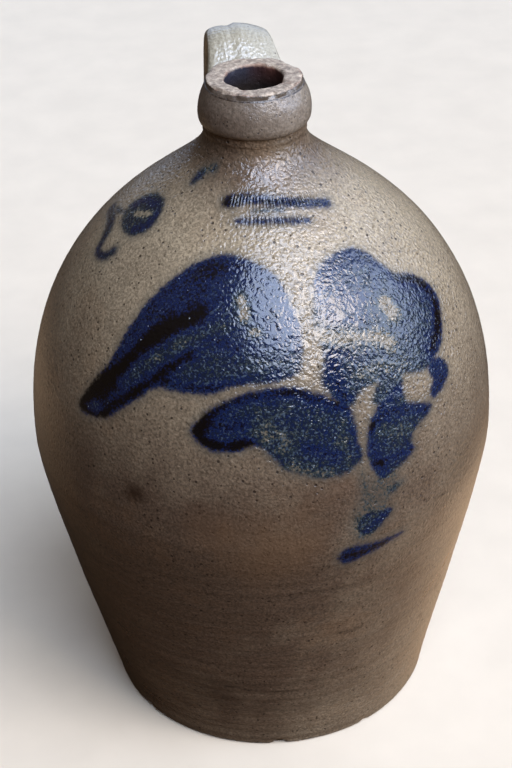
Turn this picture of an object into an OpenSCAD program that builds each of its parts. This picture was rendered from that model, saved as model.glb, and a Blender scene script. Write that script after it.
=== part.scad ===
// Ovoid stoneware jug with a heavy collar, a strap handle and brushed cobalt leaves.
// Millimetres, +Z up. The origin is the centre of the flat foot, and the handle is towards +Y.

/* [Body] */
// Diameter of the flat foot
foot_d = 175; // [150:1:200]
// Diameter at the belly, where the body is widest
belly_d = 240; // [220:1:260]
// Height of the belly above the foot
belly_z = 162; // [150:1:185]
// Height from the belly to the root of the neck
shoulder_h = 147; // [135:1:165]
// Thickness of the thrown wall
wall_t = 8; // [7:0.5:10]
// Thickness of the floor
floor_t = 10; // [8:0.5:14]
// Radius of the round where the wall rises from the floor inside
floor_round = 18; // [12:1:24]
// Radius of the worn outer edge of the foot
foot_round = 2; // [1:0.5:4]

/* [Neck] */
// Diameter at the root of the neck, where the shoulder turns up
root_d = 71; // [66:1:76]
// Diameter of the neck
neck_d = 49.6; // [48:0.2:52]
// Height of the turn from the shoulder into the neck
flare_h = 15; // [12:0.5:18]
// Height of the upright part of the neck above that turn
neck_h = 4.5; // [4:0.5:8]
// Height of the neck's seat above the root
seat_up = 4; // [3:0.5:6]
// Diameter of the throat inside the neck
throat_d = 31; // [30:0.5:32]
// Depth of the bead turned round the neck
bead_t = 0.6; // [0.3:0.1:1.2]
// Height of that bead
bead_h = 2.5; // [1.5:0.5:3.5]

/* [Collar] */
// Diameter of the collar at its widest
collar_d = 54.6; // [53:0.2:58]
// Height of the collar
collar_h = 21.5; // [19:0.5:26]
// Diameter of the collar at the edge of its flat top
lip_d = 46; // [43:0.5:49]
// Diameter of the mouth, which takes a cork
mouth_d = 28; // [26:0.5:29]
// Radius of the round at the mouth's edge
mouth_round = 1.8; // [1:0.2:2.4]
// Radius of the collar's worn top edge
lip_round = 1; // [0.5:0.1:2]
// Depth of the step turned below the collar's top edge
ledge_t = 0.6; // [0.3:0.1:1]
// Height of the collar's widest line above its lower edge
collar_bulge_h = 5; // [4:0.5:7]

/* [Handle] */
// Width of the strap at its crest
strap_w = 27; // [24:1:32]
// Thickness of the strap
strap_t = 11; // [9:0.5:13]
// Height of the strap's crest above the rim
crest_up = 9.5; // [8:0.5:16]
// Distance from the jug's axis to the crest
crest_out = 42; // [40:1:48]
// Distance from the jug's axis to the outermost part of the strap
handle_out = 70; // [67:1:80]
// Height of the foot of the strap above the foot of the jug
strap_foot_z = 286; // [280:1:290]
// Extra width where the strap spreads on to the collar and the shoulder
strap_spread = 10; // [4:0.5:12]
// Depth of the finger groove drawn along the strap
groove_t = 1; // [0.5:0.1:2]

/* [Joints] */
// Gap that the joining slip fills between two luted sections
lute = 0.2; // [0.1:0.05:0.4]
// Height of the lapped joint at the belly
lap_h = 8; // [6:0.5:12]
// Height of the ring that seats the neck in the shoulder
neck_spigot_h = 5; // [4:0.5:6]
// Height of the ring that seats the collar in the neck
collar_spigot_h = 6; // [4:0.5:8]

/* [Coats] */
// Thickness of the brown slip that lines the inside
lining_t = 0.6; // [0.4:0.1:1]
// Thickness of the brushed cobalt slip
cobalt_t = 0.4; // [0.3:0.05:0.6]
// Clearance that keeps a coat off the clay
coat_gap = 0.05; // [0.02:0.01:0.1]

/* [Hidden] */

overrun = 1;
foot_r = foot_d / 2;
belly_r = belly_d / 2;
root_r = root_d / 2;
neck_r = neck_d / 2;
throat_r = throat_d / 2;
mouth_r = mouth_d / 2;
collar_r = collar_d / 2;
lip_r = lip_d / 2;
root_z = belly_z + shoulder_h;
seat_z = root_z + seat_up;
flare_z = root_z + flare_h;
collar_z = flare_z + neck_h;
rim_z = collar_z + collar_h;
far_r = belly_r + overrun;

// Angles of the wall from upright at the foot, and from level at the top of the shoulder
foot_lean = 8;
shoulder_slope = 40;
// How far each end of the wall's two curves pulls, as shares of the stretch it belongs to
foot_pull_share = 0.155;
low_pull_share = 0.17;
high_pull_share = 0.664;
shoulder_pull_share = 0.424;
flare_pull_share = 0.4;
// Steps along each curve
wall_steps = 18;
turn_steps = 6;
bead_steps = 8;

function along(a, b, c, d, t) =
    pow(1 - t, 3) * a + 3 * pow(1 - t, 2) * t * b + 3 * (1 - t) * t * t * c + t * t * t * d;
function heading(a, b, c, d, t) =
    pow(1 - t, 2) * (b - a) + 2 * (1 - t) * t * (c - b) + t * t * (d - c);
function outward(v) = [v[1], -v[0]] / norm(v);
// A curve with both its ends and their pulls, moved out by a distance
function curve(ends, steps, out) = [
    for (i = [0:steps])
        along(ends[0], ends[1], ends[2], ends[3], i / steps)
            + out * outward(heading(ends[0], ends[1], ends[2], ends[3], i / steps))
];
function tail(points) = [for (i = [1:len(points) - 1]) points[i]];
function turned(points) = [for (i = [len(points) - 1:-1:0]) points[i]];
// A quarter turn about a centre, from one angle to another
function bend(centre, rx, rz, from, to, steps) = [
    for (i = [0:steps])
        let (a = from + (to - from) * i / steps)
            centre + [rx * cos(a), rz * sin(a)]
];

// The wall's two stretches: foot to belly, and belly to the root of the neck
low_wall = [
    [foot_r, 0],
    [foot_r, 0] + foot_pull_share * belly_z * [sin(foot_lean), cos(foot_lean)],
    [belly_r, belly_z * (1 - low_pull_share)],
    [belly_r, belly_z]
];
shoulder_pull = shoulder_pull_share * (belly_r - root_r);
high_wall = [
    [belly_r, belly_z],
    [belly_r, belly_z + high_pull_share * shoulder_h],
    [root_r, root_z] + shoulder_pull * [cos(shoulder_slope), -sin(shoulder_slope)],
    [root_r, root_z]
];
flare_pull = flare_pull_share * (root_r - neck_r);
flare_wall = [
    [root_r, root_z],
    [root_r, root_z] + flare_pull * [-cos(shoulder_slope), sin(shoulder_slope)],
    [neck_r, flare_z - flare_pull_share * flare_h],
    [neck_r, flare_z]
];

// The outside of the body from foot to the top of the flare, moved out by a distance
function outside(out) = concat(
    curve(low_wall, wall_steps, out),
    tail(curve(high_wall, wall_steps, out)),
    tail(curve(flare_wall, turn_steps, out))
);
// The round edge under the foot
foot_edge = bend([foot_r - foot_round, foot_round], foot_round, foot_round, -90, 0, turn_steps);
// The inside of the body from the floor's centre to the throat, at a depth below the outside
function inside_wall(depth) = concat(
    curve(low_wall, wall_steps, -depth),
    tail(curve(high_wall, wall_steps, -depth))
);
function floor_z(depth) = floor_t + depth - wall_t;
function inside(depth) =
    let (wall = inside_wall(depth), low_z = floor_z(depth) + floor_round)
    let (low = [lookup(low_z, [for (p = wall) [p[1], p[0]]]), low_z])
    concat(
        [[0, floor_z(depth)]],
        curve(
            [
                [low[0] - floor_round, floor_z(depth)],
                [low[0] - floor_round / 2, floor_z(depth)],
                [low[0], floor_z(depth) + floor_round / 3],
                low
            ],
            turn_steps, 0
        ),
        [for (p = wall) if (p[1] > low_z + overrun) p]
    );
// The throat, from the inside of the shoulder up into the neck
function throat() =
    let (start = inside(wall_t)[len(inside(wall_t)) - 1])
    tail(
        curve(
            [
                start,
                start + (start[0] - throat_r) / 2 * [-cos(shoulder_slope), sin(shoulder_slope)],
                [throat_r, seat_z - neck_spigot_h - wall_t / 2],
                [throat_r, seat_z - neck_spigot_h - wall_t / 4]
            ],
            turn_steps, 0
        )
    );

// The bead half way up the upright part of the neck
bead_z = collar_z - (neck_h + bead_h) / 2;
neck_bead = [
    for (i = [0:bead_steps])
        [neck_r + bead_t * pow(sin(180 * i / bead_steps), 2), bead_z + bead_h * i / bead_steps]
];

// Half sections, as radius and height
module band(r_from, r_to, z_from, z_to) {
    translate([r_from, z_from]) square([r_to - r_from, z_to - z_from]);
}

module body_half() {
    polygon(concat(
        [[0, 0]],
        foot_edge,
        [for (p = tail(outside(0))) if (p[1] > foot_round) p],
        neck_bead,
        [[neck_r, collar_z], [throat_r, collar_z]],
        turned(concat(inside(wall_t), throat()))
    ));
}

// The lapped joint runs half way through the wall at the belly
lap_r = belly_r - wall_t / 2;
module below_belly_joint(play) {
    band(0, far_r, -overrun, belly_z + play);
    band(0, lap_r + play, -overrun, belly_z + lap_h + play);
}

// The neck's seating ring is half as thick as the wall round the throat
spigot_r = (throat_r + neck_r) / 2;
module above_neck_joint(play) {
    band(0, far_r, seat_z - play, rim_z + overrun);
    band(0, spigot_r + play, seat_z - neck_spigot_h - play, rim_z + overrun);
}

module lower_body() color("#8b7d6b") {
    rotate_extrude($fn = 120)
        intersection() {
            body_half();
            below_belly_joint(-lute / 2);
        }
}

module upper_body() color("#9c8f7c") {
    rotate_extrude($fn = 120)
        difference() {
            body_half();
            below_belly_joint(lute / 2);
            above_neck_joint(lute / 2);
        }
}

// The collar's seating ring stands inside the neck, round the mouth
seat_ring_share = 0.42;
seat_ring_r = mouth_r + (neck_r - mouth_r) * seat_ring_share;
module neck() color("#978a77") {
    rotate_extrude($fn = 96)
        intersection() {
            body_half();
            difference() {
                above_neck_joint(-lute / 2);
                band(0, far_r, collar_z - lute / 2, rim_z + 2 * overrun);
                band(0, seat_ring_r + lute / 2, collar_z - collar_spigot_h - lute / 2, rim_z + 2 * overrun);
            }
        }
}

// Top of the collar's widest line, and the ledge turned just below its top edge
bulge_z = collar_z + collar_bulge_h;
ledge_z = rim_z - 3 * lip_round;
module collar() color("#a08d78") {
    rotate_extrude($fn = 96)
        polygon(concat(
            [[mouth_r, collar_z - collar_spigot_h + lute / 2]],
            [[seat_ring_r - lute / 2, collar_z - collar_spigot_h + lute / 2]],
            [[seat_ring_r - lute / 2, collar_z + lute / 2]],
            bend(
                [neck_r, bulge_z],
                collar_r - neck_r, collar_bulge_h - lute / 2, -90, 0, turn_steps
            ),
            tail(curve(
                [
                    [collar_r, bulge_z],
                    [collar_r, bulge_z + (ledge_z - bulge_z) / 2],
                    [lip_r + (collar_r - lip_r) / 2, ledge_z - (ledge_z - bulge_z) / 4],
                    [lip_r + ledge_t, ledge_z]
                ],
                turn_steps, 0
            )),
            [[lip_r, ledge_z]],
            bend([lip_r - lip_round, rim_z - lip_round], lip_round, lip_round, 0, 90, turn_steps),
            bend(
                [mouth_r + mouth_round, rim_z - mouth_round],
                mouth_round, mouth_round, 90, 180, turn_steps
            )
        ));
}

// The strap's middle line rises out of the collar, crests and comes down on the shoulder
strap_steps = 11;
strap_sides = 24;
strap_leave_angle = 38;
strap_land_angle = 76;
strap_root = [collar_r - strap_t / 2, rim_z - strap_t * 0.8];
strap_crest = [crest_out, rim_z + crest_up - strap_t / 2];
outer_heights = [for (p = outside(0)) [p[1], p[0]]];
function body_r_at(z) = lookup(z, outer_heights);
strap_foot = [body_r_at(strap_foot_z), strap_foot_z]
    - strap_t * 1.4 * [cos(strap_land_angle), sin(strap_land_angle)];
strap_rise = (strap_crest[0] - strap_root[0]) / 2;
strap_fall = strap_crest[1] - strap_foot[1];
strap_turn = (handle_out - strap_t / 2 - strap_crest[0]) * 0.95;
strap_up = [
    strap_root,
    strap_root + strap_rise * [cos(strap_leave_angle), sin(strap_leave_angle)],
    strap_crest - [strap_rise, 0],
    strap_crest
];
strap_down = [
    strap_crest,
    strap_crest + [strap_turn, 0],
    strap_foot + strap_fall * 0.55 * [cos(strap_land_angle), sin(strap_land_angle)],
    strap_foot
];
strap_line = concat(curve(strap_up, strap_steps, 0), tail(curve(strap_down, 2 * strap_steps, 0)));
strap_lean = concat(
    [for (i = [0:strap_steps]) heading(strap_up[0], strap_up[1], strap_up[2], strap_up[3], i / strap_steps)],
    [
        for (i = [1:2 * strap_steps])
            heading(strap_down[0], strap_down[1], strap_down[2], strap_down[3], i / strap_steps / 2)
    ]
);

// One section of the strap: a flat oval with a groove along its left side
function swell(a, power) = sign(a) * pow(abs(a), power);
function strap_ring(i) =
    let (
        last = len(strap_line) - 1,
        ends = pow(1 - i / last, 6) + pow(i / last, 6),
        half_w = (strap_w + strap_spread * ends) / 2,
        half_t = strap_t / 2,
        up = -outward(strap_lean[i])
    )
    [
        for (k = [0:strap_sides - 1])
            let (
                a = 360 * k / strap_sides,
                x = half_w * swell(cos(a), 0.55),
                dip = groove_t * exp(-pow((x / half_w + 0.25) * 5, 2)),
                t = half_t * swell(sin(a), 0.75) - (sin(a) > 0 ? dip : 0)
            )
            [x, strap_line[i][0] + t * up[0], strap_line[i][1] + t * up[1]]
    ];
function strap_wall(rings) = [
    for (i = [0:rings - 2], k = [0:strap_sides - 1])
        let (
            a = i * strap_sides + k,
            b = i * strap_sides + (k + 1) % strap_sides
        )
        each [[a, b + strap_sides, b], [a, a + strap_sides, b + strap_sides]]
];
module strap() {
    rings = len(strap_line);
    points = concat(
        [for (i = [0:rings - 1]) each strap_ring(i)],
        [
            [0, strap_line[0][0], strap_line[0][1]],
            [0, strap_line[rings - 1][0], strap_line[rings - 1][1]]
        ]
    );
    start = rings * strap_sides;
    last = (rings - 1) * strap_sides;
    polyhedron(points, concat(
        strap_wall(rings),
        [for (k = [0:strap_sides - 1]) [start, k, (k + 1) % strap_sides]],
        [for (k = [0:strap_sides - 1]) [start + 1, last + (k + 1) % strap_sides, last + k]]
    ));
}

module handle() color("#aaa596") {
    difference() {
        strap();
        rotate_extrude($fn = 96)
            polygon(concat(
                [[0, belly_z]],
                [for (p = curve(high_wall, wall_steps, lute / 2)) p],
                tail(curve(flare_wall, turn_steps, lute / 2)),
                [
                    [neck_r + lute / 2, collar_z],
                    [collar_r + lute / 2, collar_z + collar_bulge_h],
                    [collar_r + lute / 2, bulge_z + (ledge_z - bulge_z) / 3],
                    [lip_r + ledge_t + lute / 2, ledge_z],
                    [lip_r + lute / 2, rim_z],
                    [lip_r + lute / 2, rim_z + strap_t],
                    [0, rim_z + strap_t]
                ]
            ));
    }
}

module slip_lining() color("#3a2418") {
    rotate_extrude($fn = 120)
        polygon(concat(
            inside(wall_t + coat_gap),
            turned(inside(wall_t + coat_gap + lining_t))
        ));
}

// Brushed cobalt: marks are given as degrees round from the front and shares of the rim's height
left_leaf_shares = [
    [-61.5, 0.608], [-59, 0.645], [-55, 0.688], [-52, 0.731], [-48, 0.769], [-41, 0.799],
    [-33, 0.817], [-24, 0.823], [-15, 0.82], [-7, 0.81], [-3, 0.796], [-2, 0.778],
    [2, 0.75], [0, 0.706], [-8, 0.695], [-18, 0.691], [-25, 0.68], [-38, 0.677],
    [-44, 0.655], [-50, 0.627], [-55, 0.609]
];
right_leaf_shares = [
    [9, 0.79], [14, 0.808], [21, 0.814], [29, 0.813], [35, 0.802], [40, 0.774],
    [47, 0.758], [51, 0.744], [52.5, 0.72], [50, 0.697], [45, 0.678], [40, 0.668],
    [33, 0.672], [22, 0.674], [13, 0.662], [8.5, 0.656], [5, 0.675], [5, 0.71], [8, 0.75]
];
low_left_leaf_shares = [
    [-28, 0.637], [-25, 0.656], [-20, 0.67], [-12, 0.683], [-3, 0.688], [4, 0.675],
    [9, 0.655], [12, 0.63], [11.5, 0.59], [9, 0.57], [2, 0.565], [-6, 0.588],
    [-11, 0.62], [-16, 0.613], [-22, 0.611]
];
low_right_leaf_shares = [
    [26.5, 0.663], [22, 0.653], [16, 0.633], [14, 0.605], [15, 0.566], [18, 0.54],
    [20.5, 0.547], [24, 0.555], [26.5, 0.568], [27, 0.592], [32, 0.6], [34, 0.615],
    [36, 0.625], [40, 0.625], [43, 0.64], [41.5, 0.656], [38, 0.648], [33, 0.632], [29, 0.64]
];
blade_shares = [
    [11, 0.543], [13, 0.52], [15.5, 0.5], [19.5, 0.487], [18, 0.47], [14, 0.457],
    [10.5, 0.458], [9.7, 0.49], [9.9, 0.52]
];
comma_shares = [
    [6, 0.427], [7, 0.439], [10.5, 0.441], [14.5, 0.436], [18, 0.4355], [21.5, 0.431],
    [18, 0.423], [13, 0.419], [8.5, 0.415]
];
ring_shares = [
    [-91, 0.816], [-93, 0.835], [-84, 0.846], [-73, 0.848], [-66, 0.84],
    [-67, 0.828], [-71, 0.819], [-80, 0.814]
];
ring_slot_shares = [
    [-83, 0.832], [-81, 0.837], [-76, 0.839], [-73, 0.835], [-76, 0.83], [-80, 0.829]
];
hook_shares = [
    [-103, 0.803], [-100, 0.806], [-93, 0.803], [-87, 0.797], [-82, 0.786], [-76, 0.792],
    [-78, 0.781], [-82, 0.776], [-87, 0.781], [-92, 0.794], [-98, 0.797]
];
band_shares = [
    [
        [-33, 0.868], [-25, 0.874], [-5, 0.878], [10, 0.875], [25, 0.864],
        [35, 0.853], [25, 0.855], [5, 0.866], [-15, 0.867], [-27, 0.866]
    ],
    [[-23, 0.858], [-8, 0.862], [8, 0.86], [18, 0.852], [12, 0.848], [-6, 0.851], [-19, 0.852]]
];
mark_steps = 3;

// A smooth closed line through the marks' points
function mean_angle(shares) = ([for (s = shares) 1] * [for (s = shares) s[0]]) / len(shares);
function through(a, b, c, d, t) =
    b + t / 2 * (c - a) + t * t * (a - 5 / 2 * b + 2 * c - d / 2)
        + t * t * t / 2 * (d - a + 3 * (b - c));
function smooth_line(points) =
    let (n = len(points))
    [
        for (i = [0:n - 1], k = [0:mark_steps - 1])
            through(
                points[(i + n - 1) % n], points[i], points[(i + 1) % n], points[(i + 2) % n],
                k / mark_steps
            )
    ];
function mark_line(shares, facing) = [
    for (s = smooth_line(shares))
        [body_r_at(s[1] * rim_z) * sin(s[0] - facing), s[1] * rim_z]
];

// The thin layer of slip on the outside, between two heights
module slip_layer(z_from, z_to) {
    keep = [
        for (p = outside(coat_gap))
            if (p[1] > z_from - shoulder_h / wall_steps && p[1] < z_to + shoulder_h / wall_steps) p
    ];
    keep_out = [
        for (p = outside(coat_gap + cobalt_t))
            if (p[1] > z_from - shoulder_h / wall_steps && p[1] < z_to + shoulder_h / wall_steps) p
    ];
    rotate_extrude($fn = 120) polygon(concat(keep, turned(keep_out)));
}

// A brushed mark: the layer of slip, cut out by the mark's line seen along its own facing
module brushed(shares, holes = []) {
    facing = mean_angle(shares);
    heights = [for (s = shares) s[1] * rim_z];
    intersection() {
        slip_layer(min(heights), max(heights));
        rotate([90, 0, facing])
            linear_extrude(height = far_r + overrun)
                difference() {
                    polygon(mark_line(shares, facing));
                    for (hole = holes) polygon(mark_line(hole, facing));
                }
    }
}

module cobalt_left_leaf() color("#1f2a5c") brushed(left_leaf_shares);
module cobalt_right_leaf() color("#232f63") brushed(right_leaf_shares);
module cobalt_low_left_leaf() color("#2b3a68") brushed(low_left_leaf_shares);
module cobalt_low_right_leaf() color("#2e3d6a") brushed(low_right_leaf_shares);
module cobalt_stem_strokes() color("#2b3766") {
    brushed(blade_shares);
    brushed(comma_shares);
}
module cobalt_curl_mark() color("#333f6b") {
    brushed(ring_shares, [ring_slot_shares]);
    brushed(hook_shares);
}
module cobalt_neck_bands() color("#2a3564") {
    for (shares = band_shares) brushed(shares);
}

lower_body();
upper_body();
neck();
collar();
handle();
slip_lining();
cobalt_left_leaf();
cobalt_right_leaf();
cobalt_low_left_leaf();
cobalt_low_right_leaf();
cobalt_stem_strokes();
cobalt_curl_mark();
cobalt_neck_bands();
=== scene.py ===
"""The looks of a salt-glazed ovoid stoneware jug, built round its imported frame.

Shapes are worked out in metres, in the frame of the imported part. Angles round the jug are counted
from its decorated front, which faces -Y, and grow towards +X.
"""

import functools
import math

import bpy
import numpy as np
from mathutils import Matrix, Vector


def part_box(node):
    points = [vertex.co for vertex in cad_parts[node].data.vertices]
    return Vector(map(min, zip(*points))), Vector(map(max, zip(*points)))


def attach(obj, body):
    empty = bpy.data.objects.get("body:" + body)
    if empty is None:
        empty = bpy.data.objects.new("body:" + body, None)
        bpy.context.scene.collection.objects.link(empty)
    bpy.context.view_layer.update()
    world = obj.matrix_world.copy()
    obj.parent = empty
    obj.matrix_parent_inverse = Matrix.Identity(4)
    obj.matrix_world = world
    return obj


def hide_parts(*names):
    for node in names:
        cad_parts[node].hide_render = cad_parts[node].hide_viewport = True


bl_info = {
    "name": "Salt-glazed stoneware jug",
    "version": (1, 0, 0),
    "blender": (4, 5, 0),
    "location": "3D View > Sidebar > Jug",
    "description": "Turned stoneware jug with a strap handle and brushed cobalt leaves",
    "category": "Object",
}

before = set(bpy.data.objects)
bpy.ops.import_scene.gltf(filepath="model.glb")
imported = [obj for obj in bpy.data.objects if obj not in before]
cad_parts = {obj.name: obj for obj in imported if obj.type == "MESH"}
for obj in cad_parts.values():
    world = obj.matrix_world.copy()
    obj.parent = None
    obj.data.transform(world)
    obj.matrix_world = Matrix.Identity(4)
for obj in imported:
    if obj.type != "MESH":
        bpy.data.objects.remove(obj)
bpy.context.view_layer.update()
MM = 0.001
BODY = "root"
LOWER_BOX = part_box("lower_body")
COLLAR_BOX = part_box("collar")


# Colours and nodes

def linear(code):
    """Turns an sRGB hex colour such as #857a69 into linear red, green, blue and alpha."""
    channels = [int(code[i:i + 2], 16) / 255 for i in (1, 3, 5)]
    return tuple(c / 12.92 if c <= 0.04045 else ((c + 0.055) / 1.055) ** 2.4 for c in channels) + (1.0,)


def node(tree, kind, inputs=(), out=0, stops=(), **settings):
    """Adds a node with its settings and gives one of its outputs, by name or by number, or all
    of them for None. Inputs are sockets to link or values to set: by name, or as a row that
    fills the sockets in use from the first on. Stops are the places and colours of a ramp."""
    made = tree.nodes.new("ShaderNode" + kind)
    for key, value in settings.items():
        setattr(made, key, value)
    if isinstance(inputs, dict):
        pairs = [(made.inputs[key], value) for key, value in inputs.items()]
    else:
        pairs = list(zip([socket for socket in made.inputs if socket.enabled], inputs))
    for socket, value in pairs:
        if isinstance(value, bpy.types.NodeSocket):
            tree.links.new(value, socket)
        else:
            socket.default_value = value
    for number, (place, code) in enumerate(stops):
        ramp = made.color_ramp.elements
        element = ramp[number] if number < len(ramp) else ramp.new(1.0)
        element.position = place
        element.color = linear(code)
    if out is None:
        return made.outputs
    return made.outputs[out] if isinstance(out, str) else [o for o in made.outputs if o.enabled][out]


def across(size):
    """Scale of a pattern whose features lie this many millimetres apart."""
    return 1 / (size * MM)


def new_material(name):
    """An empty node material, and a function that adds a node to it."""
    material = bpy.data.materials.new(name)
    material.use_nodes = True
    material.node_tree.nodes.clear()
    return material, functools.partial(node, material.node_tree)


def shared_material(name, make, look):
    """The material of that name, made once."""
    return bpy.data.materials.get(name) or make(look)


# The jug's sizes, colours and light, as a user would change them

def length(name, description, default):
    """A size that the panel shows in units of length."""
    return bpy.props.FloatProperty(
        name=name, description=description, default=default, unit="LENGTH", subtype="DISTANCE", precision=5
    )


def colour(name, description, code):
    """A colour with a swatch in the panel."""
    return bpy.props.FloatVectorProperty(
        name=name, description=description, default=linear(code), size=4, subtype="COLOR", min=0, max=1
    )


def level(name, description, default, unit="NONE"):
    """A strength of light."""
    return bpy.props.FloatProperty(name=name, description=description, default=default, unit=unit)


class JugSizes(bpy.types.PropertyGroup):
    """Sizes of the turned clay"""

    foot_radius: length("Foot radius", "Radius of the flat foot", 87.5 * MM)
    belly_radius: length("Belly radius", "Largest radius of the body", LOWER_BOX[1].x - 0.5 * MM)
    belly_height: length("Belly height", "Height of the widest line", 162 * MM)
    root_radius: length("Neck root radius", "Radius where the shoulder meets the neck", 35.5 * MM)
    root_height: length("Neck root height", "Height where the shoulder meets the neck", 309 * MM)
    neck_radius: length("Neck radius", "Radius of the upright neck", 24.8 * MM)
    flare_top: length("Flare top", "Height where the neck turns upright", 324 * MM)
    collar_foot: length("Collar foot", "Height of the underside of the collar", 328.5 * MM)
    collar_radius: length("Collar radius", "Largest radius of the collar", 27.3 * MM)
    lip_radius: length("Lip radius", "Radius of the collar's flat top", 23 * MM)
    mouth_radius: length("Mouth radius", "Radius of the mouth's bore", 14 * MM)
    rim_height: length("Rim height", "Height of the rim above the foot", COLLAR_BOX[1].z)
    wall: length("Wall", "Thickness of the thrown wall", 8 * MM)
    floor: length("Floor", "Thickness of the floor", 10 * MM)
    throat_radius: length("Throat radius", "Radius of the throat inside the neck", 15.5 * MM)
    joint_gap: length("Joint gap", "Half the gap that the joining slip fills", 0.1 * MM)
    ring_depth: length("Throwing rings", "Depth of the rings left by the thrower's fingers", 0.1 * MM)
    dent_depth: length("Unevenness", "Depth of the broad unevenness of a hand-thrown wall", 0.3 * MM)


class JugFinish(bpy.types.PropertyGroup):
    """Colours of the clay, the glaze, the slip and the floor"""

    # The tone that mixes these clays also paints light on the right and shade low, left and at the neck
    tan_clay: colour("Tan clay", "Salt-glazed clay on the shoulder", "#9a8c73")
    brown_clay: colour("Brown clay", "Salt-glazed clay near the foot", "#534437")
    toasted_clay: colour("Toasted clay", "Clay flashed orange by the fire", "#77583a")
    iron_speck: colour("Iron speck", "Dark specks of iron", "#241a14")
    worn_clay: colour("Worn clay", "Clay laid bare on the rim", "#b6a793")
    rust_clay: colour("Rust", "Rusty iron on chipped edges", "#80533b")
    pale_glaze: colour("Pale glaze", "Thick pale glaze on the handle", "#a19b88")
    brown_slip: colour("Brown slip", "Slip that lines the inside", "#1a110d")
    floor_colour: colour("Floor", "Plain pale floor", "#dbceb8")
    lit_bounce: colour("Lit bounce", "The floor on the right, as the jug sees it", "#a2825e")
    dark_bounce: colour("Dark bounce", "The floor on the left, as the jug sees it", "#66482c")


class JugLight(bpy.types.PropertyGroup):
    """Strength of the studio light"""

    window: level("Window", "Bright core of the open sky", 19.0, "POWER")
    opening: level("Open sky", "Sky before the jug", 7.8)
    zenith: level("Zenith", "Sky straight above", 0.1)
    side: level("Right side", "Lower sky to the right", 5.2)
    above: level("High sky", "Sky above the jug, to the right", 2.2)
    edge: level("Far right", "Dim light past the right side", 1.3)
    behind: level("Behind", "Soft light past the handle", 1.0)
    shade: level("Shade", "Light from all around", 0.08)


# Turned surfaces

BEAD_LOW = 323.4 * MM
BEAD_HIGH = 327 * MM
BEAD_DEPTH = 0.25 * MM
FOOT_ROUND = 2 * MM
FOOT_LEAN = math.radians(8)
SHOULDER_SLOPE = math.radians(40)
FLOOR_CORNER = 18 * MM

# How far each curve of the wall keeps to the direction of its end, as a share of its span
FOOT_PULL = 0.155
BELLY_PULL = 0.17
SHOULDER_RISE = 0.664
SHOULDER_PULL = 0.424
NECK_PULL = 0.4


def bezier(a, b, c, d, count):
    """A cubic curve from a to d that leaves towards b and arrives from c."""
    t = np.linspace(0, 1, count)[:, None]
    a, b, c, d = (np.asarray(point, float) for point in (a, b, c, d))
    return (1 - t) ** 3 * a + 3 * (1 - t) ** 2 * t * b + 3 * (1 - t) * t * t * c + t ** 3 * d


def arc(centre, across_radius, up_radius, start, end, count):
    """Points of an ellipse about a centre, between two angles in degrees."""
    a = np.radians(np.linspace(start, end, count))
    return np.stack([centre[0] + across_radius * np.cos(a), centre[1] + up_radius * np.sin(a)], axis=1)


def chain(*lines):
    """Joins lines end to end, leaving out points that repeat."""
    line = np.concatenate([np.atleast_2d(np.asarray(part, float)) for part in lines])
    step = np.linalg.norm(np.diff(line, axis=0), axis=1)
    return line[np.concatenate([[True], step > 1e-7])]


def lengths(line):
    """Distance along a line at each of its points."""
    return np.concatenate([[0], np.cumsum(np.linalg.norm(np.diff(line, axis=0), axis=1))])


def spaced(line, step):
    """The same line with points at an even spacing close to a step, its ends kept."""
    along = lengths(line)
    even = np.linspace(0, along[-1], max(2, int(round(along[-1] / step)) + 1))
    return np.stack([np.interp(even, along, line[:, i]) for i in range(line.shape[1])], axis=1)


def outward(line):
    """Unit normals of a half section that runs up its outside, pointing away from the axis."""
    slope = np.gradient(line, lengths(line), axis=0)
    normal = np.stack([slope[:, 1], -slope[:, 0]], axis=1)
    return normal / np.linalg.norm(normal, axis=1, keepdims=True)


def low_wall(s, count=240):
    """Half section of the outside from the foot's edge up to the belly."""
    pull = FOOT_PULL * s.belly_height
    return bezier(
        (s.foot_radius, 0),
        (s.foot_radius + pull * math.sin(FOOT_LEAN), pull * math.cos(FOOT_LEAN)),
        (s.belly_radius, (1 - BELLY_PULL) * s.belly_height),
        (s.belly_radius, s.belly_height),
        count,
    )


def high_wall(s, count=240):
    """Half section of the outside from the belly up to the root of the neck."""
    pull = SHOULDER_PULL * (s.belly_radius - s.root_radius)
    return bezier(
        (s.belly_radius, s.belly_height),
        (s.belly_radius, s.belly_height + SHOULDER_RISE * (s.root_height - s.belly_height)),
        (s.root_radius + pull * math.cos(SHOULDER_SLOPE), s.root_height - pull * math.sin(SHOULDER_SLOPE)),
        (s.root_radius, s.root_height),
        count,
    )


def outer_wall(s):
    """Half section of the whole outside, from the foot's round edge to the underside of the collar."""
    foot = arc((s.foot_radius - FOOT_ROUND, FOOT_ROUND), FOOT_ROUND, FOOT_ROUND, -90, 0, 12)
    rising = low_wall(s)
    pull = NECK_PULL * (s.root_radius - s.neck_radius)
    flare = bezier(
        (s.root_radius, s.root_height),
        (s.root_radius - pull * math.cos(SHOULDER_SLOPE), s.root_height + pull * math.sin(SHOULDER_SLOPE)),
        (s.neck_radius, s.flare_top - NECK_PULL * (s.flare_top - s.root_height)),
        (s.neck_radius, s.flare_top),
        60,
    )
    up = np.linspace(s.flare_top, s.collar_foot, 60)
    swell = np.clip((up - BEAD_LOW) / (BEAD_HIGH - BEAD_LOW), 0, 1)
    neck = np.stack([s.neck_radius + BEAD_DEPTH * np.sin(math.pi * swell) ** 2, up], axis=1)
    return chain(foot, rising[rising[:, 1] > FOOT_ROUND], high_wall(s), flare, neck)


def between(line, low, high):
    """The stretch of a rising line between two heights, with its ends cut there."""
    ends = [[np.interp(z, line[:, 1], line[:, 0]), z] for z in (low, high)]
    return chain(ends[:1], line[(line[:, 1] > low) & (line[:, 1] < high)], ends[1:])


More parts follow.
